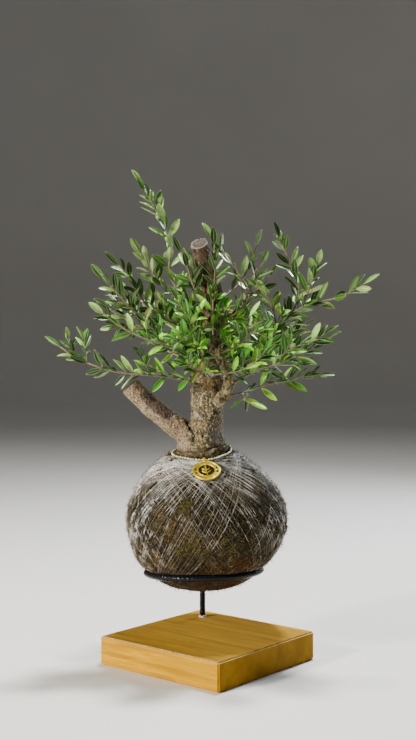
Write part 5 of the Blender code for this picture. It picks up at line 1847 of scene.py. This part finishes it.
def grow_shoot(corners, along, draw, crown):
    """A short side shoot with leaf pairs, as its route and leaves, or None where there is no room."""
    base = middle_of(corners)
    normal = facing(corners)
    bend = math.radians(draw.uniform(28, 62))
    sway = normal.cross(along) * draw.uniform(-0.6, 0.6)
    out = (normal * math.sin(bend) + along * math.cos(bend) + sway + Vector((0, 0, 0.35))).normalized()
    pairs = draw.choice([1, 2, 2, 3])
    rise = Vector((draw.uniform(-0.2, 0.2), draw.uniform(-0.2, 0.2), 0.3))
    step_length = SHOOT_STEP * draw.uniform(0.85, 1.2)
    route = [base]
    for n in range(pairs):
        route.append(route[-1] + out * step_length)
        out = (out + rise * 0.35).normalized()
    leave = base + (route[1] - base).normalized() * 1.5
    trial = BVHTree.FromPolygons(*tube([leave] + route[1:], [SHOOT_RADIUS] * (pairs + 1), 4))
    middle = (route[0] + route[-1]) / 2
    if crown.blocked(middle, trial):
        return None
    crown.add(middle, trial)
    leaves = []
    turn = draw.uniform(0, math.pi)
    for n in range(1, pairs + 1):
        axis = (route[n] - route[n - 1]).normalized()
        full = SHOOT_LEAF * (0.8 + 0.3 * n / pairs)
        leaves += leaf_pair(route[n], axis, axis.orthogonal().normalized(), turn, SHOOT_TIP_RADIUS,
                            n / pairs, draw, crown, full, trial)
        turn += math.pi / 2 + draw.uniform(-0.3, 0.3)
    axis = (route[-1] - route[-2]).normalized()
    first = axis.orthogonal().normalized()
    other = axis.cross(first)
    tip = [route[-1] + (first * x + other * y) * 0.3 for x, y in SQUARE]
    end = Bud(None, axis, 0, -1, 1.0, None)
    leaves.append(place_leaf(end, tip, rolled(draw), crown, SHOOT_LEAF * 0.95, SHOOT_TRIES, trial))
    return route, [leaf for leaf in leaves if leaf is not None]


def leaf_half_width(share, width, blunt):
    """Half the leaf's width at a share of its length: a short stalk, then a long oval with a point."""
    stalk = 0.42
    if share < 0.08:
        return stalk
    x = ((share - 0.08) / 0.92) ** 0.92
    return max(0.10, stalk * (1 - x) ** 6 + width * 0.5 * (4 * x * (1 - x)) ** blunt)


def leaf_faces():
    """Faces of a leaf and the paint of each: 0 on its upper side, 1 on its under side and round its edge."""
    count = len(LEAF_ACROSS)
    under = LEAF_STATIONS * count
    end = under - count
    faces = []
    paint_of = []
    for a in range(0, end, count):
        b = under + a
        for k in range(count - 1):
            faces.append((a + k, a + k + 1, a + k + 1 + count, a + k + count))
            faces.append((b + k + count, b + k + 1 + count, b + k + 1, b + k))
            paint_of += [0, 1]
        faces.append((a + count, b + count, b, a))
        a += count - 1
        b += count - 1
        faces.append((a, b, b + count, a + count))
        paint_of += [1, 1]
    faces.append((*range(count - 1, -1, -1), *range(under, under + count)))
    faces.append((*range(end, under), *range(under + under - 1, under + end - 1, -1)))
    return faces, paint_of + [1, 1]


LEAF_FACES, LEAF_PAINTS = leaf_faces()


def fine_leaf(form, leaf, draw, outer, pale):
    """Adds one leaf: upper and under face joined round the edge, folded a little along its rib."""
    side, face = leaf_axes(leaf.out, leaf.up, leaf.twist)
    fold = 0.22 + 0.40 * draw.random()
    tint = min(1.0, draw.random() ** 1.55 * (1 - pale) + 0.90 * pale)
    fuller = draw.uniform(0.78, 1.10) * (1 + 0.35 * pale)
    blunt = draw.uniform(0.60, 0.92)
    points = []
    marks = []
    for under in (False, True):
        for i in range(LEAF_STATIONS):
            share = i / (LEAF_STATIONS - 1)
            half = leaf_half_width(share, leaf.width * fuller, blunt)
            thick = 0.26 * (1 - share) ** 0.5 + 0.06
            bowed = face * leaf.arch * share * share * leaf.length
            middle = leaf.base + leaf.out * leaf.length * share + bowed
            for v in LEAF_ACROSS:
                edge = abs(v)
                lift = fold * edge * half
                rib = 1 - step(edge, 0.05, 0.30)
                if under:
                    lift -= thick * (1 - edge) + 0.20 * rib * (1 - share)
                else:
                    lift += thick * (1 - edge) - 0.16 * rib * (1 - share)
                points.append(middle + side * half * v + face * lift)
                marks.append((share, edge, tint, outer))
    form.take(points, LEAF_FACES, marks)
    form.paint_of += LEAF_PAINTS


def fine_twig(form, route, radius, tip_radius):
    """Adds one twig with small swellings at its leaf nodes."""
    nodes = len(route) - 1
    fine = smooth_route(route, TWIG_STEP)
    total = len(fine) - 1
    young = radius < 0.75
    radii = []
    marks = []
    for i in range(total + 1):
        share = i / total
        swell = 0.22 * math.exp(-(((share * nodes + 0.5) % 1.0 - 0.5) * 9.0) ** 2)
        radii.append((radius + (tip_radius - radius) * share) * (0.94 + swell))
        marks += [one_mark(0.7 + 0.3 * i / total if young else 0.9 * i / total)] * TWIG_SIDES
    form.take(*tube(fine, radii, TWIG_SIDES), marks)


def spray_trees(sprays):
    """Search trees of the part's leafy stems without their leaves."""
    trees = {}
    for spray in sprays:
        faces = []
        for f in spray.faces:
            if f is not None:
                faces += [(f[0], f[k], f[k + 1]) for k in range(1, len(f) - 1)]
        trees[spray.name] = BVHTree.FromPolygons(spray.points, faces)
    return trees


def build_leaves(sprays, fixed):
    """The part's leaves from its own seeded draws, then short shoots on the free sides of the twigs."""
    crown = Crown(fixed, spray_trees(sprays))
    grown = {spray.name: [] for spray in sprays}
    free = []
    draw = random.Random(SEED)
    for spray in sprays:
        for bud in spray.buds:
            rolls = rolled(draw)
            corners = [spray.points[v] for v in bud.corners]
            if bud.side >= 0 and (bud.number + bud.side) % 2:
                free.append((spray, bud, corners))
                continue
            leaf = place_leaf(bud, corners, rolls, crown)
            if leaf is not None:
                grown[spray.name].append((leaf, outerness(leaf.base)))
    crown.fixed.append(knee_sheets())
    draw = random.Random(SHOOT_SEED)
    for spray in sprays:
        grown[spray.name] += grow_pairs(spray, draw, crown)
    bare = Spray("trunk_shoots")
    grown[bare.name] = []
    for n in range(TRUNK_SHOOTS):
        square, normal = trunk_square(fixed[0], draw)
        shoot = grow_shoot(square, (normal + Vector((0, 0, 0.9))).normalized(), draw, crown)
        if shoot is not None:
            route, leaves = shoot
            bare.routes.append(([route[0] - normal] + route[1:], SHOOT_RADIUS, SHOOT_TIP_RADIUS))
            grown[bare.name] += [(leaf, 0.0) for leaf in leaves]
    for spray, bud, corners in free:
        if draw.random() > crowding(middle_of(corners)):
            continue
        shoot = grow_shoot(corners, bud.along, draw, crown)
        if shoot is not None:
            route, leaves = shoot
            spray.routes.append((route, SHOOT_RADIUS, SHOOT_TIP_RADIUS))
            grown[spray.name] += [(leaf, 0.85 * outerness(leaf.base)) for leaf in leaves]
    for route in DRY_TWIGS:
        bare.routes.append(([tree_point(p) for p in route], DRY_RADIUS, DRY_TIP_RADIUS))
    build_sprays(sprays + [bare], bare, grown)


def build_sprays(sprays, bare, grown):
    """The twigs and the leaves of every leafy stem, as a piece each; bare stands for no stem of the part."""
    upper = leaf_paint("leaf_upper", False)
    under = leaf_paint("leaf_under", True)
    young = twig_paint()
    draw = random.Random(SHOOT_SEED)
    for spray in sprays:
        name = spray.name.replace("spray_", "")
        stands_for = [] if spray is bare else [spray.name]
        thinner = THIN_STEMS if name.startswith(("front", "back")) else STEMS
        twigs = Form()
        for route, radius, tip_radius in spray.routes:
            fine_twig(twigs, route, radius * (thinner if radius > 1.2 else SIDE_TWIGS), tip_radius)
        piece("twigs_" + name, twigs, [young], stands_for)
        leaves = Form()
        for leaf, outer in grown[spray.name]:
            fine_leaf(leaves, leaf, draw, outer, PALE_STEMS.get(name, 0.0))
        piece("leaves_" + name, leaves, [upper, under], stands_for)


def softbox(name, spot, size, power, colour):
    """A round soft light that looks at the middle of the object."""
    light = bpy.data.lights.new(name, "AREA")
    light.shape = "DISK"
    light.size = size
    light.energy = power
    light.color = colour
    made = linked(name, light)
    made.location = spot
    made.rotation_euler = (Vector(LIGHT_AIM) - Vector(spot)).to_track_quat("-Z", "Y").to_euler()


def build_stage():
    """Camera, plain pale floor that rises to a far wall all round, and soft studio light."""
    camera = bpy.data.cameras.new("camera")
    camera.lens = CAMERA_LENS
    camera.sensor_width = CAMERA_SENSOR
    made = linked("camera", camera)
    made.location = CAMERA_SPOT
    made.rotation_euler = (math.radians(90.0 - CAMERA_DOWN), 0.0, 0.0)
    bpy.context.scene.camera = made
    world = bpy.data.worlds.new("studio")
    world.use_nodes = True
    sky = world.node_tree.nodes["Background"]
    sky.inputs["Color"].default_value = SKY_COLOUR
    sky.inputs["Strength"].default_value = SKY_STRENGTH
    bpy.context.scene.world = world
    paint = Paint("pale_floor")
    tones = paint.ramp(paint.noise(900.0, 2.0), [(0.3, 0.60, 0.595, 0.58), (0.7, 0.64, 0.635, 0.62)])
    paint.set(Base_Color=tones, Roughness=0.8)
    points, faces = lathe(FLOOR_PROFILE, 96, False)
    mesh = bpy.data.meshes.new("floor")
    mesh.from_pydata([(x * MM, y * MM, z * MM) for x, y, z in points], [], turned_over(faces))
    mesh.polygons.foreach_set("use_smooth", [True] * len(mesh.polygons))
    mesh.materials.append(paint.material)
    floor = linked("floor", mesh)
    for light in LIGHTS:
        softbox(*light)


def main():
    build_stage()
    steel = steel_paint()
    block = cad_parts["block"].data
    block.materials.clear()
    block.materials.append(wood_paint())
    build_ring(steel)
    build_rod(steel)
    build_weld(steel)
    build_glue(glue_paint())
    build_moss(moss_paint())
    build_fuzz(fuzz_paint())
    pale = thread_paint("pale_thread", (0.13, 0.11, 0.075), (0.97, 0.97, 0.95))
    thread_turns("thread_outer", THREAD_FANS, others=7, seed=11, lift=0.75, paint=pale)
    earth_and_shading = thread_paint("earthy_thread", (0.06, 0.042, 0.022), (0.30, 0.24, 0.15))
    thread_turns("thread_inner", [], others=13, seed=23, lift=0.2, paint=earth_and_shading)
    build_medal(gold_paint())
    build_chain(chain_paint())
    trunk_tree = search_tree("trunk")
    ball_tree = search_tree("root_ball")
    collars = find_collars(trunk_tree)
    build_trunk(bark_paint(), collars)
    build_leaves(grow_stems(collars), [trunk_tree, ball_tree])


main()
